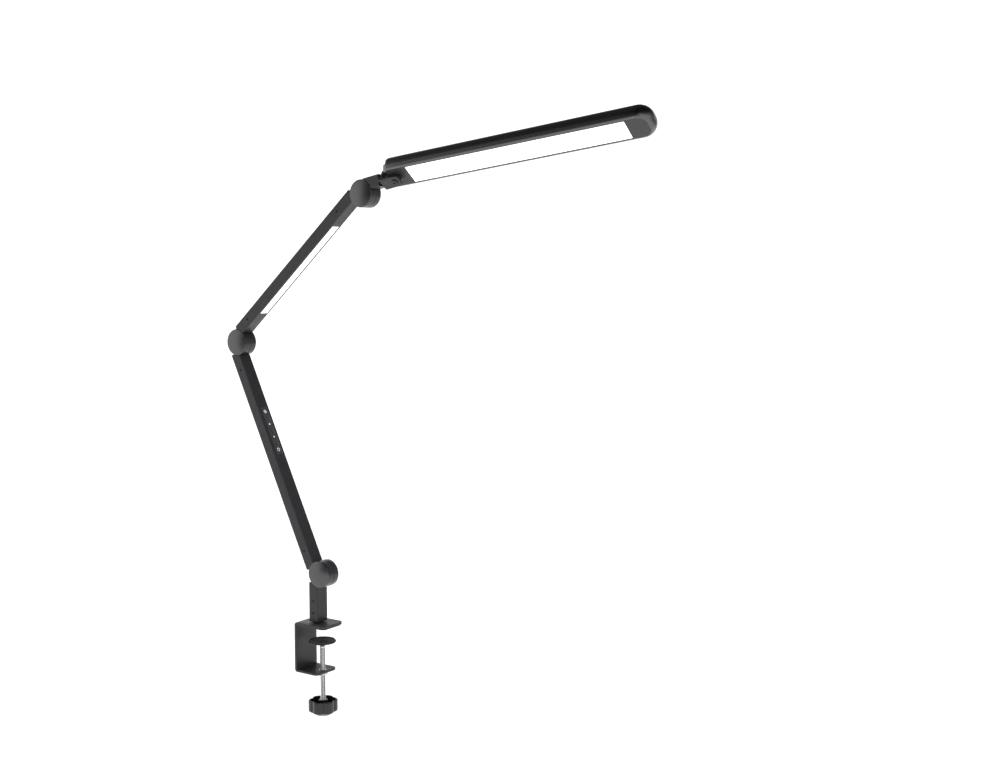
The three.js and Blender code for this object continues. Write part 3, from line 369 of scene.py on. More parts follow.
def grained(name, colour, roughness, grain, depth, metallic=0.0, coat=0.0, specular=0.5,
            tone=0.25, uneven=0.06, stored=True):
    """The lamp's usual finish: fine grain in colour and bump, broad unevenness in roughness."""
    material, nodes, links, shader = start_finish(name, roughness, metallic, coat, specular)
    fine = noise(nodes, links, millimetres(nodes, links, grain, stored))
    broad = noise(nodes, links, millimetres(nodes, links, (HAND, HAND, HAND), stored), 2.0)
    tones = [tuple(c * k for c in colour) for k in (1 - tone, 1 + tone)]
    two_tone(nodes, links, fine, *tones, shader.inputs["Base Color"])
    patches = spread(nodes, links, broad, roughness - uneven, roughness + uneven)
    links.new(patches, shader.inputs["Roughness"])
    emboss(nodes, links, fine, depth, shader)
    return material


# %% [markdown]
# The painted and moulded finishes differ mainly in the size of their grain. Powder coat flows
# into soft hills half a millimetre wide; moulded plastic has a finer spark texture; draw lines on
# a tube are long and thin, so their grain is stretched along the tube.

# %% Painted, moulded and drawn finishes
powder = grained("powder_coat", (0.021, 0.021, 0.023), 0.46, (0.7, 0.7, 0.7), 0.035)
anodised = grained("anodised_tube", (0.024, 0.024, 0.027), 0.42, (0.22, 0.22, 14), 0.006, metallic=0.25)
drum_side = grained("anodised_drum", (0.035, 0.035, 0.039), 0.26, (0.3, 0.3, 0.3), 0.008, metallic=0.4)
polished = grained("polished_bar", (0.002, 0.002, 0.0025), 0.24, (2.0, 2.0, 2.0), 0.0004, coat=1.0,
                   specular=1.0, uneven=0.02)
satin_black = grained("satin_black", (0.03, 0.03, 0.032), 0.4, (0.5, 0.5, 0.5), 0.008, metallic=0.3)
satin_plate = grained("satin_underside", (0.03, 0.03, 0.032), 0.38, (0.25, 0.25, 0.25), 0.01)
moulded = grained("moulded_knob", (0.012, 0.012, 0.013), 0.3, (0.35, 0.35, 0.35), 0.014, uneven=0.05)
rubbery = grained("rubber", (0.05, 0.05, 0.05), 0.7, (0.3, 0.3, 0.3), 0.03)
nylon = grained("nylon", (0.014, 0.014, 0.015), 0.5, (0.4, 0.4, 0.4), 0.012)
zinc = grained("zinc_plate", (0.55, 0.56, 0.58), 0.3, (0.5, 0.5, 0.5), 0.004, metallic=1.0, tone=0.08)
bright = grained("bright_plate", (0.72, 0.73, 0.75), 0.16, (1.2, 1.2, 1.2), 0.003, metallic=1.0, tone=0.04)
print(len(made), "finishes so far")

# %% [markdown]
# A drum's end disc is faced on a lathe. The cutter leaves rings finer than a tenth of a
# millimetre, so the brightness changes with the radius and never with the angle. The radius is
# the length of the local x and y, and a one-dimensional noise along it gives the rings.

# %% Turned discs
RING_PITCH = 0.16
turned_disc, nodes, links, shader = start_finish("turned_disc", 0.34, 0.9)
position = millimetres(nodes, links, (RING_PITCH, RING_PITCH, 1e6))
radius = nodes.new("ShaderNodeVectorMath")
radius.operation = "LENGTH"
links.new(position, radius.inputs[0])
rings = noise(nodes, links, radius.outputs["Value"], 4.0, "1D")
disc_tones = ((0.07, 0.07, 0.072), (0.115, 0.115, 0.118))
two_tone(nodes, links, rings, *disc_tones, shader.inputs["Base Color"])
links.new(spread(nodes, links, rings, 0.14, 0.24), shader.inputs["Roughness"])
emboss(nodes, links, rings, 0.0006, shader)

# %% [markdown]
# The lit windows are opal plastic with lamps behind them. The light leaves them a little more
# evenly in the middle than at the rim; it is slightly warm all over, and the plastic keeps its own
# faint grain. Emission strength is held low enough that the window reads as white without washing
# out the black around it.

# %% Lit windows


def opal(name, half_width, strength):
    """Opal plastic lit from behind: the glow eases off towards both long sides, following the
    distance from the middle line."""
    material, nodes, links, shader = start_finish(name, 0.35)
    grain = noise(nodes, links, millimetres(nodes, links, (0.8, 0.8, 0.8)))
    axes = nodes.new("ShaderNodeSeparateXYZ")
    links.new(millimetres(nodes, links, (1, half_width, 1)), axes.inputs["Vector"])
    side = nodes.new("ShaderNodeMath")
    side.operation = "ABSOLUTE"
    links.new(axes.outputs["Y"], side.inputs[0])
    glow = ranged(nodes, links, side.outputs["Value"], (0.72, 1.0, strength, strength * 0.8))
    links.new(glow, shader.inputs["Emission Strength"])
    two_tone(nodes, links, grain, (0.97, 0.97, 0.95), (1, 1, 0.985), shader.inputs["Emission Color"])
    two_tone(nodes, links, grain, (0.82, 0.82, 0.8), (0.9, 0.9, 0.88), shader.inputs["Base Color"])
    emboss(nodes, links, grain, 0.01, shader)
    return material


# %% [markdown]
# ## The clamp
# The clamp is one bar of flat steel, bent twice into a C, with the front corners rounded in
# plan and all edges broken. It could be three boxes joined, but the bends would be missing. Here
# a rounded section is carried along the bent centre line, and its width shrinks near both ends
# by the rule of a quarter circle, so the corners round by themselves.

# %% Bent bar


def along_path(corners, radius, steps=8):
    """An open path through (x, z) corners with arcs of one radius at the inner corners, with the
    distance travelled at each point."""
    rounded = [(*c, radius if 0 < k < len(corners) - 1 else 0) for k, c in enumerate(corners)]
    path = outline(rounded, steps)
    step = np.linalg.norm(np.diff(path, axis=0), axis=1)
    return path, np.concatenate([[0], np.cumsum(step)])


def bent_bar(name, corners, bend, width, thickness, ends, edge, place):
    """A flat bar along a bent path. At distance s from an end of corner radius r the half width is
    width/2 - r + sqrt(r^2 - (r - s)^2), and within `edge` of the end the section shrinks as a
    quarter round, so the end closes on its middle line."""
    path, travelled = along_path(corners, bend)
    total = travelled[-1]
    quarter = np.linspace(0, math.pi / 2, 7)
    start = edge * np.column_stack([1 - np.cos(quarter), 1 - np.sin(quarter)])
    near = [edge + (r - edge) * (1 - np.cos(np.linspace(0.15, math.pi / 2, 10))) if r > edge else np.empty(0)
            for r in ends]
    middle = travelled[(travelled > ends[0] + edge) & (travelled < total - ends[1] - edge)]
    distance = np.concatenate([[0], start[:, 0], near[0], middle, total - near[1][::-1],
                               total - start[::-1, 0], [total]])
    inset = np.concatenate([[thickness / 2], start[:, 1], 0 * near[0], 0 * middle, 0 * near[1],
                            start[::-1, 1], [thickness / 2]])
    x = np.interp(distance, travelled, path[:, 0])
    z = np.interp(distance, travelled, path[:, 1])
    slope = [np.gradient(path[:, k], travelled) for k in (0, 1)]
    tangent = np.column_stack([np.interp(distance, travelled, part) for part in slope])
    tangent /= np.linalg.norm(tangent, axis=1)[:, None]
    half = np.full(len(distance), width / 2)
    for r, s in ((ends[0], distance), (ends[1], total - distance)):
        inside = np.clip(r - s, 0, r)
        half -= r - np.sqrt(np.maximum(r**2 - inside**2, 0))
    rings = []
    for k in range(len(distance)):
        flat = max(thickness / 2 - inset[k], 1e-5)
        reach = max(half[k] - inset[k], 1e-5)
        round_off = max(min(edge - inset[k], flat * 0.98, reach * 0.98), 1e-5)
        ring = rectangle(-reach, reach, -flat, flat, round_off, 4, 8)
        rings.append(np.column_stack([x[k] - ring[:, 1] * tangent[k, 1], ring[:, 0],
                                      z[k] + ring[:, 1] * tangent[k, 0]]))
    return surface(name, np.stack(rings), place, wrap=False)


low, high = local_box("clamp_bracket", clamp_place)
PLATE = 3.6
CLAMP_BEND = 2.7
CLAMP_EDGE = 0.6
middle_top = high[2] - PLATE / 2
middle_low = low[2] + PLATE / 2
middle_back = low[0] + PLATE / 2
BOTTOM_REACH = 45.0
JAW_CORNER = 8.0
clamp_corners = [(high[0], middle_top), (middle_back, middle_top), (middle_back, middle_low),
                 (low[0] + BOTTOM_REACH, middle_low)]
clamp_bar = bent_bar("clamp_bar", clamp_corners, CLAMP_BEND, high[1] - low[1], PLATE,
                     (JAW_CORNER, JAW_CORNER), CLAMP_EDGE, clamp_place)
NUT_HOLE = 6.1
hole_profile = [(0, low[2] - 2), (NUT_HOLE, low[2] - 2), (NUT_HOLE, low[2] + 6), (0, low[2] + 6)]
hole = turned("nut_hole", np.array(hole_profile), clamp_place)
clamp_bar = combine(clamp_bar, hole, "DIFFERENCE", clamp_place)
print("clamp bar:", len(clamp_bar.data.polygons), "faces")

# %% [markdown]
# ## Handing a piece to its link
# Every finished piece takes one material, rides on the CAD body it belongs to and says which CAD
# nodes it stands for. One helper does all three, so no piece can be left behind when a joint
# moves.

# %% Handing over


def settle(piece, material, body, slot, *nodes):
    """Gives the piece its finish and its body, and hides the CAD nodes it stands for. The slot is not used.
    """
    piece.data.materials.clear()
    piece.data.materials.append(material)
    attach(piece, body)
    if nodes:
        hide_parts(*nodes)
    return piece


settle(clamp_bar, powder, "clamp", "black_paint", "clamp_bracket")

# %% [markdown]
# The top jaw carries a rubber sheet, the pad below carries a ribbed rubber disc, and the press
# nut is a turned collar in the bottom plate. The ribs are real waves of a quarter millimetre:
# the height of the pad falls and rises with the cosine of the radius.

# %% Rubber, nut and pad
RUBBER_CORNER = 6.5
low, high = local_box("jaw_liner", clamp_place)
jaw_rubber = slab("jaw_rubber", plan(low, high), RUBBER_CORNER, low[2], high[2], 0.5, clamp_place)
settle(jaw_rubber, rubbery, "clamp", "rubber", "jaw_liner")

low, high = local_box("clamp_nut", clamp_place)
FLANGE = 3.0
BORE = 4.3
BARREL = 5.8
nut_profile = outline([(BORE, low[2], 0.4), (high[0], low[2], 0.6), (high[0], low[2] + FLANGE, 0.4),
                       (BARREL, low[2] + FLANGE, 0), (BARREL, high[2], 0.4), (BORE, high[2], 0.3)])
press_nut = turned("press_nut", nut_profile, clamp_place, 64)
settle(press_nut, zinc, "clamp", "steel", "clamp_nut")

low, high = local_box("pad_face", clamp_place)
RIB = 2.4
RIB_DEPTH = 0.25
rib_radius = np.linspace(0, high[0] - 0.8, 90)
rib_height = high[2] - RIB_DEPTH * (1 - np.cos(2 * math.pi * rib_radius / RIB)) / 2
rib_profile = np.vstack([np.column_stack([rib_radius, rib_height]), [high[0], high[2] - 0.4],
                         [high[0], low[2]], [0, low[2]]])
pad_rubber = turned("pad_rubber", rib_profile, clamp_place)
settle(pad_rubber, rubbery, "pad", "rubber", "pad_face")

low, high = local_box("pad_disc", clamp_place)
DISC = 2.0
PAD_HUB = 6.5
PAD_BORE = 3.3
disc_low = high[2] - DISC
pad_profile = outline([(0, high[2], 0), (high[0], high[2], 0.7), (high[0], disc_low, 0.7),
                       (PAD_HUB, disc_low, 1.2), (PAD_HUB, low[2], 0.6), (PAD_BORE, low[2], 0.3),
                       (PAD_BORE, disc_low - 0.3, 0.3), (0, disc_low - 0.3, 0)])
pad_plate = turned("pad_plate", pad_profile, clamp_place)
settle(pad_plate, powder, "pad", "black_paint", "pad_disc")

# %% [markdown]
# ## The clamp screw
# A plated M8 screw has a thread of 1.25 mm pitch. A picture of a thread would look flat from the
# side, where its edge shows against the light. The thread here is a true helix: the radius dips
# by a flattened wave of (height / pitch - angle / turn), and the dip fades out near both ends.

# %% Threaded screw
low, high = local_box("clamp_screw", clamp_place)
PITCH = 1.25
THREAD_DEPTH = 0.62
CHAMFER = 0.6
FADE = 3
pad_hub_low = local_box("pad_disc", clamp_place)[0][2]
thread_top = pad_hub_low - 2.2
height = np.arange(low[2] + CHAMFER, thread_top, PITCH / 8)[:, None]
angle = around(32)
phase = np.mod(height / PITCH - angle / (2 * math.pi), 1)
dip = np.clip(1.3 * (1 - np.abs(2 * phase - 1)) - 0.15, 0, 1)
fade = np.clip((height - low[2] - CHAMFER) / FADE, 0, 1) * np.clip((thread_top - height) / FADE, 0, 1)
thread = swept(high[0] - THREAD_DEPTH * dip * fade, height, angle)


def ring_rows(profile):
    """Rows of a turned surface for a short profile (radius, height)."""
    return swept(np.array(profile)[:, :1], np.array(profile)[:, 1:], angle)


NECK = 2.2
BALL = 3.0
foot_rows = ring_rows([(0, low[2]), (high[0] - CHAMFER, low[2])])
head_rows = ring_rows([(high[0], thread_top + 0.2), (NECK, pad_hub_low - 0.3), (NECK, high[2] - BALL),
                       (BALL, high[2] - BALL / 2), (BALL / 2, high[2]), (0, high[2])])
screw_rows = np.concatenate([foot_rows, thread, head_rows])
screw = surface("threaded_screw", screw_rows, clamp_place, wrap=False)
settle(screw, bright, "screw", "chrome", "clamp_screw")
print("screw thread turns:", round(float((thread_top - low[2]) / PITCH), 1))

# %% [markdown]
# ## The knob
# The knob is moulded: six round lobes to grip, a tapered foot, and a hollow top with a hub and
# six thin ribs that save plastic. It is still one swept profile. Each lobe is part of a circle:
# at an angle a from a lobe the rim lies at c cos(a) + sqrt(q^2 - c^2 sin^2(a)), where c is the
# lobe's centre and q its radius. The pull towards the rim grows with the distance from the hub,
# so the hub stays round, and the ribs lift the floor wherever the angle is near a rib.

# %% Lobed knob
low, high = local_box("clamp_knob", clamp_place)
knob_points = to_local(vertices(frame["nodes"]["clamp_knob"].data), clamp_place)
knob_radius = np.hypot(knob_points[:, 0], knob_points[:, 1])
KNOB = knob_radius.max()
farthest = knob_points[knob_radius.argmax()]
lobe_turn = math.atan2(farthest[1], farthest[0])
LOBES = 6
LOBE_CENTRE = 12.5
TAPER = 7.5
FOOT_LIFT = 2.4
KNOB_WALL = 2.2
HUB = 7.0
RIB_WIDTH = 0.9
RIB_RISE = 9.0
FOOT = 12.8
inner_wall = KNOB - KNOB_WALL
foot_height = low[2] + FOOT_LIFT
floor_height = low[2] + TAPER
knob_profile = outline([(0, foot_height, 0), (FOOT, foot_height, 1.2), (KNOB, floor_height, 2.5),
                        (KNOB, high[2], 1.2), (inner_wall, high[2], 0.7), (inner_wall, floor_height, 1.2),
                        (HUB, floor_height, 0.8), (HUB, high[2], 0.6), (BORE, high[2], 0.3),
                        (BORE, foot_height + 2, 0.2), (0, foot_height + 2, 0)], 6, 9)
angle = around(216)
r, h = knob_profile[:, :1], knob_profile[:, 1:]
share = np.clip((r - HUB) / (KNOB - HUB), 0, 1)
from_lobe = np.mod(angle - lobe_turn + math.pi / LOBES, 2 * math.pi / LOBES) - math.pi / LOBES
across_lobe = (KNOB - LOBE_CENTRE)**2 - (LOBE_CENTRE * np.sin(from_lobe))**2
lobe_rim = LOBE_CENTRE * np.cos(from_lobe) + np.sqrt(across_lobe)
radius = r - share * (KNOB - lobe_rim)
off_rib = np.mod(LOBES * (angle - lobe_turn) / (2 * math.pi) + 0.5, 1) - 0.5
off_rib = np.abs(off_rib) * 2 * math.pi / LOBES * radius
on_floor = (np.abs(h - floor_height) < 0.9) & (r > HUB + 0.2) & (r < inner_wall - 0.2) & (h < high[2] - 2)
lift = RIB_RISE * np.clip(1.6 - off_rib / RIB_WIDTH, 0, 1) * on_floor
knob = surface("lobed_knob", swept(radius, h + lift, angle), clamp_place, wrap=False)
settle(knob, moulded, "screw", "dark_plastic", "clamp_knob")

# %% [markdown]
# ## Drum joints
# Each joint is a drum cut in half across its axle: the near half turns with the upper link, the
# far half stays with the lower one, and a thin nylon washer shows as a line between them. The
# ends are closed by turned discs. Everything about a drum is round, so each piece is a profile
# swept round the joint's axis. The discs are domed by almost two millimetres, which lets
# light slide across them from bright to dark.

# %% Drum pieces
CLEAR = 0.3
SEAM = 0.06
DRUM_EDGE = 0.2
DOME = 1.9
DISC_EDGE = 0.6
AXLE = 3.3
AXLE_HEAD = 6.3
RECESS = 4
WEB_START = 9.0
WASHER_SPREAD = 0.8


def drum_place(joint, side):
    """A frame on a joint whose Z points outwards on the given side, -1 near and +1 far."""
    return place_at(drum_points[joint], side * ACROSS, UP)


def cap_node(joint, side):
    """The CAD node of a drum's end disc on the given side."""
    return f"joint{joint + 1}_{'rear' if side > 0 else 'front'}_cap"


def half_drum(name, joint, side, cad_node, body, link_place, end):
    """Half a drum with the root of its web: a ring with a bolt recess, joined to a block that
    reaches into the tube and follows the CAD node's own extent along the link."""
    place = drum_place(joint, side)
    cap_low, cap_high = local_box(cap_node(joint, side), place)
    radius = cap_high[0]
    inner = local_box(f"joint{joint + 1}_washer", place)[1][2] + SEAM
    outer = cap_low[2] - SEAM
    seat = outer - RECESS
    profile = outline([(AXLE, inner, 0.2), (radius, inner, DRUM_EDGE), (radius, outer, DRUM_EDGE),
                       (AXLE_HEAD, outer, 0.3), (AXLE_HEAD, seat, 0.2), (AXLE, seat, 0.2)])
    ring = turned(name, profile, place, 128)
    low, high = local_box(cad_node, link_place)
    block_x = (-TUBE_MIDDLE - BLOCK_HALF, -TUBE_MIDDLE + BLOCK_HALF)
    near, far = sorted((side * inner, side * BLOCK_DEPTH))
    web = (WEB_START, radius + 2 * CLEAR + 1.0)
    plug = (radius + 2 * CLEAR, high[2] if end > 0 else -low[2])
    for y, z in (((near, far), web), ((-BLOCK_DEPTH, BLOCK_DEPTH), plug)):
        z0, z1 = z if end > 0 else (-z[1], -z[0])
        block = slab("block", (*block_x, *y), 0.6, z0, z1, 0.3, link_place, 1)
        ring = combine(ring, block, "UNION", place)
    return settle(ring, drum_side, body, "black_aluminium", cad_node)


def end_disc(name, joint, side, body):
    """A domed end disc: height falls from the middle with the square of the radius."""
    place = drum_place(joint, side)
    low, high = local_box(cap_node(joint, side), place)
    radius = np.linspace(0, high[0] - DISC_EDGE, 24)
    face = np.column_stack([radius, high[2] - 0.2 + DOME * (1 - (radius / high[0]) ** 2)])
    rim_height = face[-1, 1]
    rim = outline([(high[0] - DISC_EDGE, rim_height, 0), (high[0], rim_height - 0.1, 0.35),
                   (high[0], low[2], 0.2), (0, low[2], 0)], 4)
    disc = turned(name, np.vstack([face, rim[1:]]), place, 128)
    return settle(disc, turned_disc, body, "disc_finish", cap_node(joint, side))


def drum_washer(name, joint, body):
    """The nylon washer between two half drums, a flat ring."""
    place = drum_place(joint, 1)
    cad_node = f"joint{joint + 1}_washer"
    low, high = local_box(cad_node, place)
    rim = high[0] + WASHER_SPREAD
    profile = outline([(AXLE, low[2], 0.1), (rim, low[2], 0.1), (rim, high[2], 0.1), (AXLE, high[2], 0.1)], 3)
    return settle(turned(name, profile, place), nylon, body, "nylon", cad_node)


low, high = local_box("lower_arm_tube", lower_place)
TUBE_MIDDLE = -(low[0] + high[0]) / 2
TUBE_WALL = 1.8
BLOCK_HALF = (high[0] - low[0]) / 2 - TUBE_WALL - CLEAR
BLOCK_DEPTH = high[1] - TUBE_WALL - CLEAR
lower_top_place = place_at(drum_points[1], lower_place[1][2])
upper_top_place = place_at(drum_points[2], upper_place[1][2])

half_drums = (
    ("post_drum", 0, 1, "post_knuckle", "post", post_place, -1),
    ("lower_drum", 0, -1, "lower_arm_bottom_knuckle", "lower_arm", lower_place, 1),
    ("lower_top_drum", 1, 1, "lower_arm_top_knuckle", "lower_arm", lower_top_place, -1),
    ("upper_drum", 1, -1, "upper_arm_bottom_knuckle", "upper_arm", upper_place, 1),
    ("upper_top_drum", 2, 1, "upper_arm_top_knuckle", "upper_arm", upper_top_place, -1),
    ("neck_drum", 2, -1, "neck_knuckle", "neck", neck_place, 1),
)
for row in half_drums:
    half_drum(*row)

links_at_drums = (("post", "lower_arm"), ("lower_arm", "upper_arm"), ("upper_arm", "neck"))
for joint, (below, above) in enumerate(links_at_drums):
    number = joint + 1
    end_disc(f"far_disc_{number}", joint, 1, below)
    end_disc(f"near_disc_{number}", joint, -1, above)
    drum_washer(f"drum_washer_{number}", joint, below)
print("drum radius:", round(float(local_box(cap_node(0, -1), drum_place(0, -1))[1][0]), 2), "mm")

# %% [markdown]
# ## Square tubes
# The links are drawn tubes of rounded square section. Each end that meets a drum is hollowed to
# the drum's curve. A boolean cut would leave uneven faces there, but the shape has a formula:
# every point of the section runs along the tube from one mouth to the other, and the mouth's
# height depends only on the point's own place in the section. The wall turns in at each mouth
# with a small lip.

# %% Square tube
CORNER = 1.6
LIP = 0.25


def flat_mouth(height):
    """A mouth cut square at a height."""
    return lambda ring: 0 * ring[:, 0] + height


def drum_mouth(centre, side, limit, radius):
    """A mouth hollowed by a drum at `centre`: side * sqrt(radius^2 - x^2) from it, but never
    nearer than the square cut at `limit`."""
    reach = abs(limit - centre)

    def mouth(ring):
        """The mouth's height at each point of a section ring."""
        on_drum = np.sqrt(np.maximum(radius**2 - ring[:, 0]**2, 0))
        return centre + side * np.maximum(reach, on_drum)

    return mouth


def square_tube(name, cad_node, place, low_mouth, high_mouth):
    """A tube whose rows go out along its outer face and back along its inner one."""
    low, high = local_box(cad_node, place)
    x0, x1, y0, y1 = low[0], high[0], low[1], high[1]
    run = np.linspace(0, 1, 13)
    rows = [(0, LIP, t) for t in run] + [(LIP, 0, 1), (TUBE_WALL - LIP, 0, 1)]
    rows += [(TUBE_WALL, LIP, t) for t in run[::-1]] + [(TUBE_WALL - LIP, 0, 0), (LIP, 0, 0)]
    rings = []
    for inset, back, t in rows:
        corner = max(CORNER - inset, 0.25)
        ring = rectangle(x0 + inset, x1 - inset, y0 + inset, y1 - inset, corner, 5, 14)
        start = low_mouth(ring) + back
        end = high_mouth(ring) - back
        rings.append(np.column_stack([ring, start + t * (end - start)]))
    return surface(name, np.stack(rings), place)


HOLE = 1.8


def screw_axis(screw_node, place):
    """A frame in the middle of a set screw whose Z points out of the near face, and half the
    screw's length."""
    low, high = local_box(screw_node, place)
    return place_at(to_lamp((low + high) / 2, place), -ACROSS, UP), (high[1] - low[1]) / 2


def drill(tube, screw_node, place):
    """The small round hole that a set screw sits in, through the near wall."""
    axis, depth = screw_axis(screw_node, place)
    profile = np.array([(0, -depth), (HOLE, -depth), (HOLE, depth + 2), (0, depth + 2)])
    return combine(tube, turned("drill", profile, axis, 40), "DIFFERENCE", place)


def relief(tube, cad_node, place, deep):
    """The shallow bed that a panel or a window lies in, a little wider than what it holds."""
    low, high = local_box(cad_node, place)
    box = (low[0] - deep, high[0] + 2, low[1] - CLEAR, high[1] + CLEAR)
    bed = slab("bed", box, 0.02, low[2] - CLEAR, high[2] + CLEAR, 0.01, place, 1)
    return combine(tube, bed, "DIFFERENCE", place)


def length_between(a, b):
    """Distance between two joints in millimetres."""
    return np.linalg.norm(drum_points[b] - drum_points[a]) / MM


NECK_START = 4.5
SWEEP = local_box(cap_node(0, -1), drum_place(0, -1))[1][0] + CLEAR
LOWER = length_between(0, 1)
UPPER = length_between(1, 2)
tube_screws = (("post_set_screw", "post_screw_top", post_place, "post"),
               ("foot_set_screw", "post_screw_foot", post_place, "post"),
               ("lower_set_screw", "lower_arm_screw_bottom", lower_place, "lower_arm"),
               ("lower_top_set_screw", "lower_arm_screw_top", lower_place, "lower_arm"),
               ("upper_set_screw", "upper_arm_screw_bottom", upper_place, "upper_arm"),
               ("upper_top_set_screw", "upper_arm_screw_top", upper_place, "upper_arm"))
tubes = (("post_column", "post", post_place, 0, ()),
         ("lower_tube", "lower_arm", lower_place, LOWER, ("touch_panel", 0.2)),
         ("upper_tube", "upper_arm", upper_place, UPPER, ("strip_diffuser", 0.1)))
tube_faces = []
for name, body, place, top_drum, bed in tubes:
    low, high = local_box(f"{body}_tube", place)
    foot = drum_mouth(0, 1, low[2], SWEEP) if top_drum else flat_mouth(low[2])
    tube = square_tube(name, f"{body}_tube", place, foot, drum_mouth(top_drum, -1, high[2], SWEEP))
    for _, screw_node, _, screw_body in tube_screws:
        if screw_body == body:
            tube = drill(tube, screw_node, place)
    if bed:
        tube = relief(tube, bed[0], place, bed[1])
    settle(tube, anodised, body, "black_aluminium", f"{body}_tube")
    tube_faces.append(len(tube.data.polygons))

low, high = local_box("neck_tube", neck_place)


def neck_mouth(ring):
    """The mouth follows the drum on the near half; on the far half, where the upper arm's web
    folds past, it stays back at the square cut."""
    near = drum_mouth(0, 1, NECK_START, SWEEP)(ring)
    return np.where(ring[:, 1] > -1, np.maximum(near, low[2]), near)


neck_stub = square_tube("neck_stub", "neck_tube", neck_place, neck_mouth, flat_mouth(high[2]))
settle(neck_stub, anodised, "neck", "black_aluminium", "neck_tube")
print("tube faces:", tube_faces + [len(neck_stub.data.polygons)])

# %% [markdown]
# ## Socket screws
# The set screws in the tubes and the bolt the bar swings on all have a hexagon socket. A hexagon
# is a circle whose radius is the flat's distance divided by the cosine of the angle to the
# nearest flat, so the socket's rings use that radius and the rest of the screw stays round.

# %% Socket screws


def socket_screw(name, place, radius, low_height, high_height, flat, depth, edge):
    """A round body with a hexagon socket sunk into its top."""
    angle = around(72)
    toward = np.mod(angle + math.pi / 6, math.pi / 3) - math.pi / 6
    body = outline([(0, low_height, 0), (radius, low_height, edge), (radius, high_height, edge),
                    (flat * 1.25, high_height, 0)], 4)
    hexagon = flat / np.cos(toward)
    levels = high_height - np.array([0.12 * flat, depth, depth * 1.15])[:, None]
    sizes = np.array([1.0, 1.0, 0.0])[:, None] * hexagon
    rows = [swept(body[:, :1], body[:, 1:], angle), swept(sizes, levels, angle)]
    return surface(name, np.concatenate(rows), place, wrap=False)


for name, node, place, body in tube_screws:
    axis, half = screw_axis(node, place)
    set_screw = socket_screw(name, axis, half / 1.5, -half, half, 0.8, 1.4, 0.15)
    settle(set_screw, nylon, body, "nylon", node)

# %% [markdown]
# ## Power socket
# A low-voltage socket sits in the back of the post: a flanged barrel with an open mouth and a
# pin down the middle. One profile goes round it, with the pin's tip and the mouth in the same
# sweep.

# %% Power socket
low, high = local_box("power_inlet", post_place)
inlet_origin = to_lamp(np.array([low[0], 0, (low[2] + high[2]) / 2]), post_place)
inlet_place = place_at(inlet_origin, (-1, 0, 0))
INLET_BACK = low[0] - high[0]
INLET_BODY = 4.4
INLET_FLANGE = 6
MOUTH = 2.8
PIN = 0.7
inlet_profile = outline([(0, INLET_BACK, 0), (INLET_BODY, INLET_BACK, 0.3), (INLET_BODY, -1, 0.1),
                         (INLET_FLANGE, -1, 0.2), (INLET_FLANGE, 0, 0.4), (MOUTH, 0, 0.3),
                         (MOUTH, INLET_BACK + 1, 0.2), (PIN, INLET_BACK + 1, 0.1),
                         (PIN, -1.2, 0.4), (0, -1.2, 0)], 4)
power_socket = turned("power_socket", inlet_profile, inlet_place, 64)
settle(power_socket, moulded, "post", "dark_plastic", "power_inlet")

# %% [markdown]
# ## Touch panel
# A strip of dark glass lies in the lower tube. It has no buttons, only four printed marks that
# the finger finds: switch, dimmer, brighter and light tone. The marks are prints a few hundredths
# of a millimetre thick, so they stay crisp from any distance.

# %% Touch panel
glass, nodes, links, shader = start_finish("touch_glass", 0.12, 0, 0.8)
smear = noise(nodes, links, millimetres(nodes, links, (6, 6, 6)), 4.0)
two_tone(nodes, links, smear, (0.035, 0.036, 0.04), (0.045, 0.046, 0.05), shader.inputs["Base Color"])
links.new(spread(nodes, links, smear, 0.1, 0.22), shader.inputs["Roughness"])
print_ink = grained("print_ink", (0.8, 0.82, 0.85), 0.5, (0.2, 0.2, 0.2), 0.002, tone=0.06)

lower_face = lower_place[1][0]
panel_place = place_at(drum_points[0], lower_face, np.cross(lower_face, lower_place[1][2]))
low, high = local_box("touch_panel", panel_place)
panel = slab("touch_glass_strip", plan(low, high), 1.2, low[2], high[2], 0.22, panel_place)
settle(panel, glass, "lower_arm", "dark_plastic", "touch_panel")

MARK_PITCH = 20.9
INK = 0.03
INK_SUNK = 0.02


def mark_ring(name, place, inner, outer, height):
    """A printed ring; an inner radius of zero makes a dot."""
    bottom, top = height - INK_SUNK, height + INK
    profile = [(inner, bottom), (outer, bottom), (outer, top), (inner, top)]
    return settle(turned(name, np.array(profile), place, 48), print_ink, "lower_arm", "dark_plastic")


panel_middle = (low[0] + high[0]) / 2
mark_radii = (((1.9, 2.7),), ((0, 1.3),), ((0, 1.5),), ((1.9, 2.7), (0, 0.9)))
for number, rings in enumerate(mark_radii):
    spot = np.array([panel_middle + (number - 1.5) * MARK_PITCH, 0, 0])
    place = place_at(to_lamp(spot, panel_place), lower_face, panel_place[1][1])
    for layer, (inner, outer) in enumerate(rings):
        mark_ring(f"touch_mark_{number + 1}_{layer + 1}", place, inner, outer, high[2])
    if number == 0:
        bar = slab("touch_mark_bar", (0.4, 2.5, -0.35, 0.35), 0.1, high[2] - INK_SUNK,
                   high[2] + 1.2 * INK, 0.005, place, 1)
        settle(bar, print_ink, "lower_arm", "dark_plastic")

# %% [markdown]
# ## Light strip in the upper tube
# The second lamp is a long opal window let into the underside of the upper tube, crowned very
# slightly so its edge lies just below the metal.

# %% Light strip
upper_face = upper_place[1][0]
strip_place = place_at(drum_points[1], upper_face, np.cross(upper_face, upper_place[1][2]))
low, high = local_box("strip_diffuser", strip_place)
strip_half = (high[1] - low[1]) / 2
strip_opal = opal("strip_opal", strip_half, 1.15)
strip_window = slab("strip_window", plan(low, high), 0.6, low[2], high[2], 0.4, strip_place, 12)
settle(strip_window, strip_opal, "upper_arm", "diffuser", "strip_diffuser")

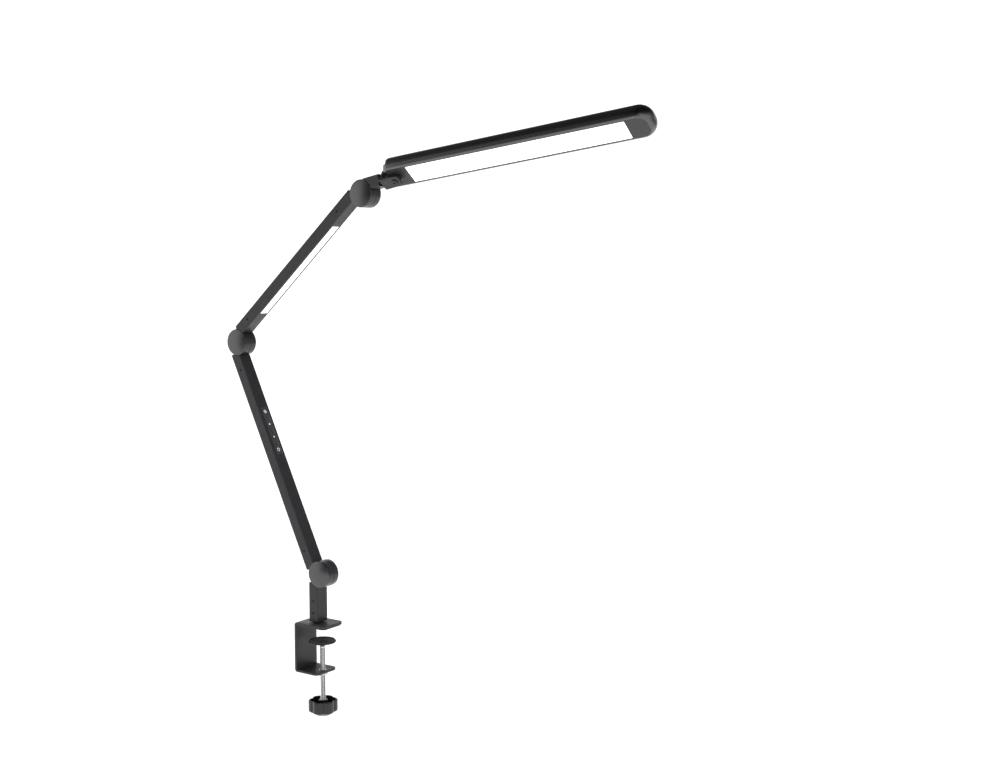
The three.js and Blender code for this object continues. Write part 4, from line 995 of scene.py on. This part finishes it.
# %% [markdown]
# ## The head bracket
# One strip of plate is bent to an L: the upright leg stands against the neck's end, the tongue
# reaches under the bar and ends in two round corners. Two side webs stiffen it; their upper edge
# is a hollow quarter of an ellipse that runs out on the tongue.

# %% Bracket
low, high = local_box("head_bracket", bracket_place)
BRACKET_PLATE = 2.8
WEB = 2.0
WEB_TOP = -2.8
TONGUE_CORNER = 5.0
leg_middle = low[2] + BRACKET_PLATE / 2
tongue_middle = low[0] + BRACKET_PLATE / 2
bracket_width = high[1] - low[1]
head_bracket = bent_bar("bent_bracket",
                        [(high[0], leg_middle), (tongue_middle, leg_middle), (tongue_middle, high[2])],
                        2.0, bracket_width, BRACKET_PLATE, (2.0, TONGUE_CORNER), 0.4, bracket_place)


def prism(name, shape, y0, y1, place):
    """An outline in x and z, run straight along y, with its two flat ends as single faces."""
    n = len(shape)
    ends = [np.column_stack([shape[:, 0], np.full(n, y), shape[:, 1]]) for y in (y0, y1)]
    mesh = bpy.data.meshes.new(name)
    sides = [(k, (k + 1) % n, n + (k + 1) % n, n + k) for k in range(n)]
    caps = [tuple(range(n))[::-1], tuple(range(n, 2 * n))]
    mesh.from_pydata(to_lamp(np.vstack(ends), place), [], caps + sides)
    return tidy(add_object(name, mesh), place)


leg_face = low[2] + BRACKET_PLATE
web_end = high[2] - TONGUE_CORNER
t = np.linspace(math.pi / 2, 0, 24)
tongue_top = low[0] + BRACKET_PLATE - 0.2
hollow = np.column_stack([WEB_TOP - (WEB_TOP - tongue_top) * np.sin(t),
                          web_end - (web_end - leg_face) * np.cos(t)])
web_foot = low[0] + 0.4
web_shape = np.vstack([[web_foot, leg_face - 1], [web_foot, web_end], hollow, [WEB_TOP, leg_face - 1]])
for y0 in (low[1], high[1] - WEB):
    web = prism("web", web_shape, y0, y0 + WEB, bracket_place)
    edge = web.modifiers.new("edge", "BEVEL")
    edge.width, edge.segments, edge.limit_method = 0.25 * MM, 2, "ANGLE"
    head_bracket = combine(head_bracket, web, "UNION", bracket_place)
settle(head_bracket, satin_black, "bracket", "black_paint", "head_bracket")

# %% [markdown]
# Between tongue and bar stands a turned collar, and the bar swings on a socket bolt that comes
# up through both.

# %% Swing collar and bolt
low, high = local_box("pivot_collar", bar_place)
COLLAR_BORE = 2.8
collar_profile = outline([(COLLAR_BORE, low[2], 0.2), (high[0], low[2], 0.5), (high[0], high[2], 0.5),
                          (COLLAR_BORE, high[2], 0.2)])
swing_collar = turned("swing_collar", collar_profile, bar_place, 80)
settle(swing_collar, satin_black, "light_bar", "black_paint", "pivot_collar")

low, high = local_box("pivot_bolt", bar_place)
bolt_place = place_at(swing_point, -bar_up, bar_direction)
swing_bolt = socket_screw("swing_bolt", bolt_place, high[0], -low[2] - 1.2, -low[2], 2.0, 0.9, 0.25)
SHANK = 2.5
shank_profile = outline([(0, -high[2], 0), (SHANK, -high[2], 0.4), (SHANK, -low[2] - 0.9, 0),
                         (0, -low[2] - 0.9, 0)])
shank = turned("shank", shank_profile, bolt_place, 48)
swing_bolt = combine(swing_bolt, shank, "UNION", bolt_place)
settle(swing_bolt, satin_black, "light_bar", "steel", "pivot_bolt")

# %% [markdown]
# ## The light bar
# The bar's shell is a long plate with generous corners in plan, hollow from below. Its sides are
# not flat: they swell like half an ellipse, so a mirrored horizon runs along them as a slow fade
# from black to grey. One rule makes it all: each ring is the plan outline pulled in by an inset
# and raised to a height, and the profile of (inset, height) goes from the top, round the side by
# the ellipse, in under the lip and back along the inside of the roof.

# %% Bar shell
low, high = local_box("head_shell", bar_place)
bar_box = plan(low, high)
bar_half = (high[1] - low[1]) / 2
BAR_TOP = high[2]
BAR_EDGE = 7.0
BAR_CORNERS = np.array([12.6, 20.0])
WALL = 2.4
LIP_RISE = 2.3
t = np.linspace(math.pi / 2, -math.pi / 2, 41)
side_round = np.column_stack([BAR_EDGE * (1 - np.cos(t)), BAR_TOP / 2 * (1 + np.sin(t))])
lip = BAR_EDGE - CLEAR
roof = BAR_TOP - WALL
inside = outline([(lip, 0, 0), (lip, LIP_RISE, 0.2), (WALL + 1, LIP_RISE + 2, 1),
                  (WALL + 1, roof, BAR_EDGE - WALL), (bar_half, roof, 0)])
shell_profile = np.vstack([[bar_half, BAR_TOP], side_round[:-2], inside])
bar_shell = plate("bar_shell", bar_box, BAR_CORNERS, shell_profile, bar_place, 16)
settle(bar_shell, polished, "light_bar", "gloss_shell", "head_shell")

# %% [markdown]
# The underside is a thin satin plate that frames the window. It is a ring between two outlines
# with the same number of points: the plate's own and the window's. Blending from one to the other
# gives the face, and a small step at each rim gives the broken edge.

# %% Underside and window


def framed(name, outer, opening, heights, edge, place):
    """A flat frame: rings go from the outer outline to the opening at the low height and back at
    the high height, each rim broken by `edge` millimetres."""
    span = np.linalg.norm(outer - opening, axis=1)[:, None]
    step = edge / np.maximum(span, 4 * edge)
    low_height, high_height = heights
    rows = [(0, low_height + edge), (step, low_height), (1 - step, low_height), (1, low_height + edge),
            (1, high_height), (0, high_height)]
    rings = [np.column_stack([outer + share * (opening - outer), np.full(len(outer), height)])
             for share, height in rows]
    return surface(name, np.stack(rings), place)


WINDOW_LAP = 1.5
low, high = local_box("head_bezel", bar_place)
window_low, window_high = local_box("head_diffuser", bar_place)
window_low[0] -= WINDOW_LAP
window_high[0] += WINDOW_LAP
tail_r, nose_r = BAR_CORNERS - BAR_EDGE
bezel_outer = outline([(low[0], low[1], tail_r), (high[0], low[1], nose_r),
                       (high[0], high[1], nose_r), (low[0], high[1], tail_r)], 6, 16)
bezel_opening = rectangle(window_low[0] - CLEAR, window_high[0] + CLEAR, window_low[1] - CLEAR,
                          window_high[1] + CLEAR, 1.0, 6, 16)
bezel = framed("underside_plate", bezel_outer, bezel_opening, (low[2], high[2]), 0.15, bar_place)
settle(bezel, satin_plate, "light_bar", "dark_plastic", "head_bezel")

window_half = (window_high[1] - window_low[1]) / 2
bar_opal = opal("bar_opal", window_half, 1.3)
bar_window = slab("bar_window", plan(window_low, window_high), 0.8, window_low[2], window_high[2],
                  0.25, bar_place, 24)
settle(bar_window, bar_opal, "light_bar", "diffuser", "head_diffuser")
print("bar shell faces:", len(bar_shell.data.polygons))

# %% [markdown]
# ## Pieces kept from the CAD
# Bolts, nuts, plugs and boards inside the lamp keep their CAD shape, which is already exact. They
# still get real finishes, because they show when the lamp is taken apart. These finishes read
# Object coordinates, since a CAD node has no stored local position.

# %% CAD finishes
cad_zinc = grained("zinc_fastener", (0.55, 0.56, 0.58), 0.32, (0.6, 0.6, 0.6), 0.004, metallic=1.0, tone=0.08,
                   stored=False)
cad_nylon = grained("nylon_washer", (0.014, 0.014, 0.015), 0.5, (0.4, 0.4, 0.4), 0.012, stored=False)
cad_black = grained("anodised_plug", (0.024, 0.024, 0.027), 0.42, (0.4, 0.4, 0.4), 0.008,
                    metallic=0.25, stored=False)
cad_board = grained("board_mask", (0.78, 0.79, 0.75), 0.35, (1.4, 1.4, 1.4), 0.02, tone=0.05,
                    stored=False)
cad_sheet = grained("reflector_film", (0.9, 0.9, 0.9), 0.25, (0.9, 0.9, 0.9), 0.005, tone=0.03,
                    stored=False)

guide, nodes, links, shader = start_finish("guide_acrylic", 0.05)
shader.inputs["Transmission Weight"].default_value = 0.9
shader.inputs["IOR"].default_value = 1.49
dots = nodes.new("ShaderNodeTexVoronoi")
dots.inputs["Scale"].default_value = 1.0
links.new(millimetres(nodes, links, (1.8, 1.8, 1.8), stored=False), dots.inputs["Vector"])
links.new(spread(nodes, links, dots.outputs["Distance"], 0.3, 0.05), shader.inputs["Roughness"])
links.new(blend(nodes, links, dots.outputs["Distance"], (0.95, 0.96, 0.96), (0.88, 0.92, 0.94)),
          shader.inputs["Base Color"])

drum_fasteners = (f"joint{k}_{part}" for k in (1, 2, 3) for part in ("bolt", "nut"))
cad_finishes = {
    cad_zinc: ("post_foot_bolt", "roll_bolt", *drum_fasteners),
    cad_nylon: ("post_foot_washer", "roll_washer"),
    cad_black: ("post_foot_plug", "neck_end_plug"),
    cad_board: ("touch_board", "strip_board", "led_board_near", "led_board_far"),
    cad_sheet: ("reflector_sheet",),
    guide: ("light_guide",),
}
for material, names in cad_finishes.items():
    for name in names:
        frame["nodes"][name].data.materials.clear()
        frame["nodes"][name].data.materials.append(material)
shown = [n for n, o in frame["nodes"].items() if not o.hide_render]
print("CAD nodes still shown:", len(shown), "without a finish:",
      sorted(set(shown) - {n for names in cad_finishes.values() for n in names}))

# %% [markdown]
# ## Studio
# Black metal shows what it mirrors, so the room shapes this lamp more than any single light. The
# room is a ring of walls: bright behind the lamp and to its left, falling off quickly past the
# middle of the front, and bright again on the right. Overhead it is dark, so the polished bar
# fades to black on top, and below the horizon it is white like the floor. A small pale floor lies
# below the clamp, and a soft sun straight above lights it evenly; the sun lights the paint but is
# kept out of the mirror images. One small panel on the upper left adds a glint on the bar's tail.

# %% Floor
FLOOR_HEIGHT = -0.36
FLOOR_REACH = 2.4
TILES = 24
floor_steps = np.linspace(-1, 1, TILES + 1) * FLOOR_REACH
floor_x, floor_y = np.meshgrid(floor_steps, floor_steps, indexing="ij")
floor_mesh = bpy.data.meshes.new("studio_floor")
first = np.arange(TILES)[:, None] * (TILES + 1) + np.arange(TILES)[None, :]
floor_faces = np.stack([first, first + TILES + 1, first + TILES + 2, first + 1], -1).reshape(-1, 4)
floor_points = np.stack([floor_x, floor_y, np.full_like(floor_x, FLOOR_HEIGHT)], -1).reshape(-1, 3)
floor_mesh.from_pydata(floor_points, [], floor_faces.tolist())
studio_floor = add_object("studio_floor", floor_mesh)
floor_paint, nodes, links, shader = start_finish("floor_paint", 0.9, specular=0.1)
cloud = noise(nodes, links, millimetres(nodes, links, (900, 900, 900), stored=False))
links.new(blend(nodes, links, cloud, (0.93, 0.93, 0.93), (0.95, 0.95, 0.95)), shader.inputs["Base Color"])
floor_mesh.materials.append(floor_paint)

# %% World and lights
world = bpy.data.worlds.new("studio")
bpy.context.scene.world = world
world.use_nodes = True
nodes, links = world.node_tree.nodes, world.node_tree.links
sky = nodes["Background"]
direction = nodes.new("ShaderNodeTexCoord")


def along(direction_xyz):
    """How far the view direction points along a fixed direction, from -1 to 1."""
    dot = nodes.new("ShaderNodeVectorMath")
    dot.operation = "DOT_PRODUCT"
    dot.inputs[1].default_value = direction_xyz
    links.new(direction.outputs["Generated"], dot.inputs[0])
    return dot.outputs["Value"]


def step_between(value, *limits):
    """A smooth step of a value between two results."""
    return ranged(nodes, links, value, limits, smooth=True)


def combined(operation, a, b):
    """Two values multiplied, or the larger of them."""
    node = nodes.new("ShaderNodeMath")
    node.operation = operation
    links.new(a, node.inputs[0])
    links.new(b, node.inputs[1])
    return node.outputs["Value"]


left_wall = along((-0.826, 0.558, 0))
right_wall = along((0.97, -0.24, 0))
front_wall = along((0.56, 0.83, 0))
overhead = along((0, 0, 1))
DIM = 0.12
walls = combined("MAXIMUM", step_between(left_wall, -0.16, 0.2, DIM, 1.35),
                 step_between(right_wall, 0.2, 0.7, DIM, 1.2))
walls = combined("MULTIPLY", walls, step_between(front_wall, 0.55, 0.95, 1.0, 0.4))
walls = combined("MULTIPLY", walls, step_between(overhead, 0.12, 0.72, 1.0, 0.04))
room = combined("MAXIMUM", walls, step_between(overhead, -0.3, 0.02, 1.0, 0.0))
links.new(room, sky.inputs["Strength"])
sky.inputs["Color"].default_value = (1, 1, 1, 1)


def panel_light(name, position, target, width, height, power):
    """A soft rectangular light aimed at a point."""
    data = bpy.data.lights.new(name, "AREA")
    data.shape, data.size, data.size_y, data.energy = "RECTANGLE", width, height, power
    lamp = add_object(name, data)
    lamp.location = position
    x, y, z = np.subtract(target, position)
    lamp.rotation_euler = (math.atan2(math.hypot(x, y), -z), 0, math.atan2(-x, y))


SUN_POWER = 3.4
SUN_SPREAD = 60
sun_data = bpy.data.lights.new("soft_sun", "SUN")
sun_data.energy = SUN_POWER
sun_data.angle = math.radians(SUN_SPREAD)
soft_sun = add_object("soft_sun", sun_data)
soft_sun.visible_glossy = False
panel_light("left_panel", (-1.54, 0.17, 1.51), (0.15, 0.0, 0.66), 0.4, 0.4, 7)

# %% [markdown]
# ## Camera
# The lamp is seen from its right front, a little from above, with a moderate lens from about two
# metres, far enough to keep the parallel tubes parallel.

# %% Camera
VIEW_AZIMUTH = 34.07
VIEW_TILT = 4.69
LENS = 48.39
STAND = np.array([1.3337, -1.4989, 0.4532])
camera_data = bpy.data.cameras.new("camera")
camera_data.lens = LENS
camera_data.sensor_width = 36.0
camera_data.dof.use_dof = False
camera_data.clip_end = 200
camera = add_object("camera", camera_data)
camera.location = drum_points[0] + STAND
camera.rotation_euler = (math.radians(90 - VIEW_TILT), 0, math.radians(VIEW_AZIMUTH))
bpy.context.scene.camera = camera
bpy.context.scene.view_settings.view_transform = "Standard"
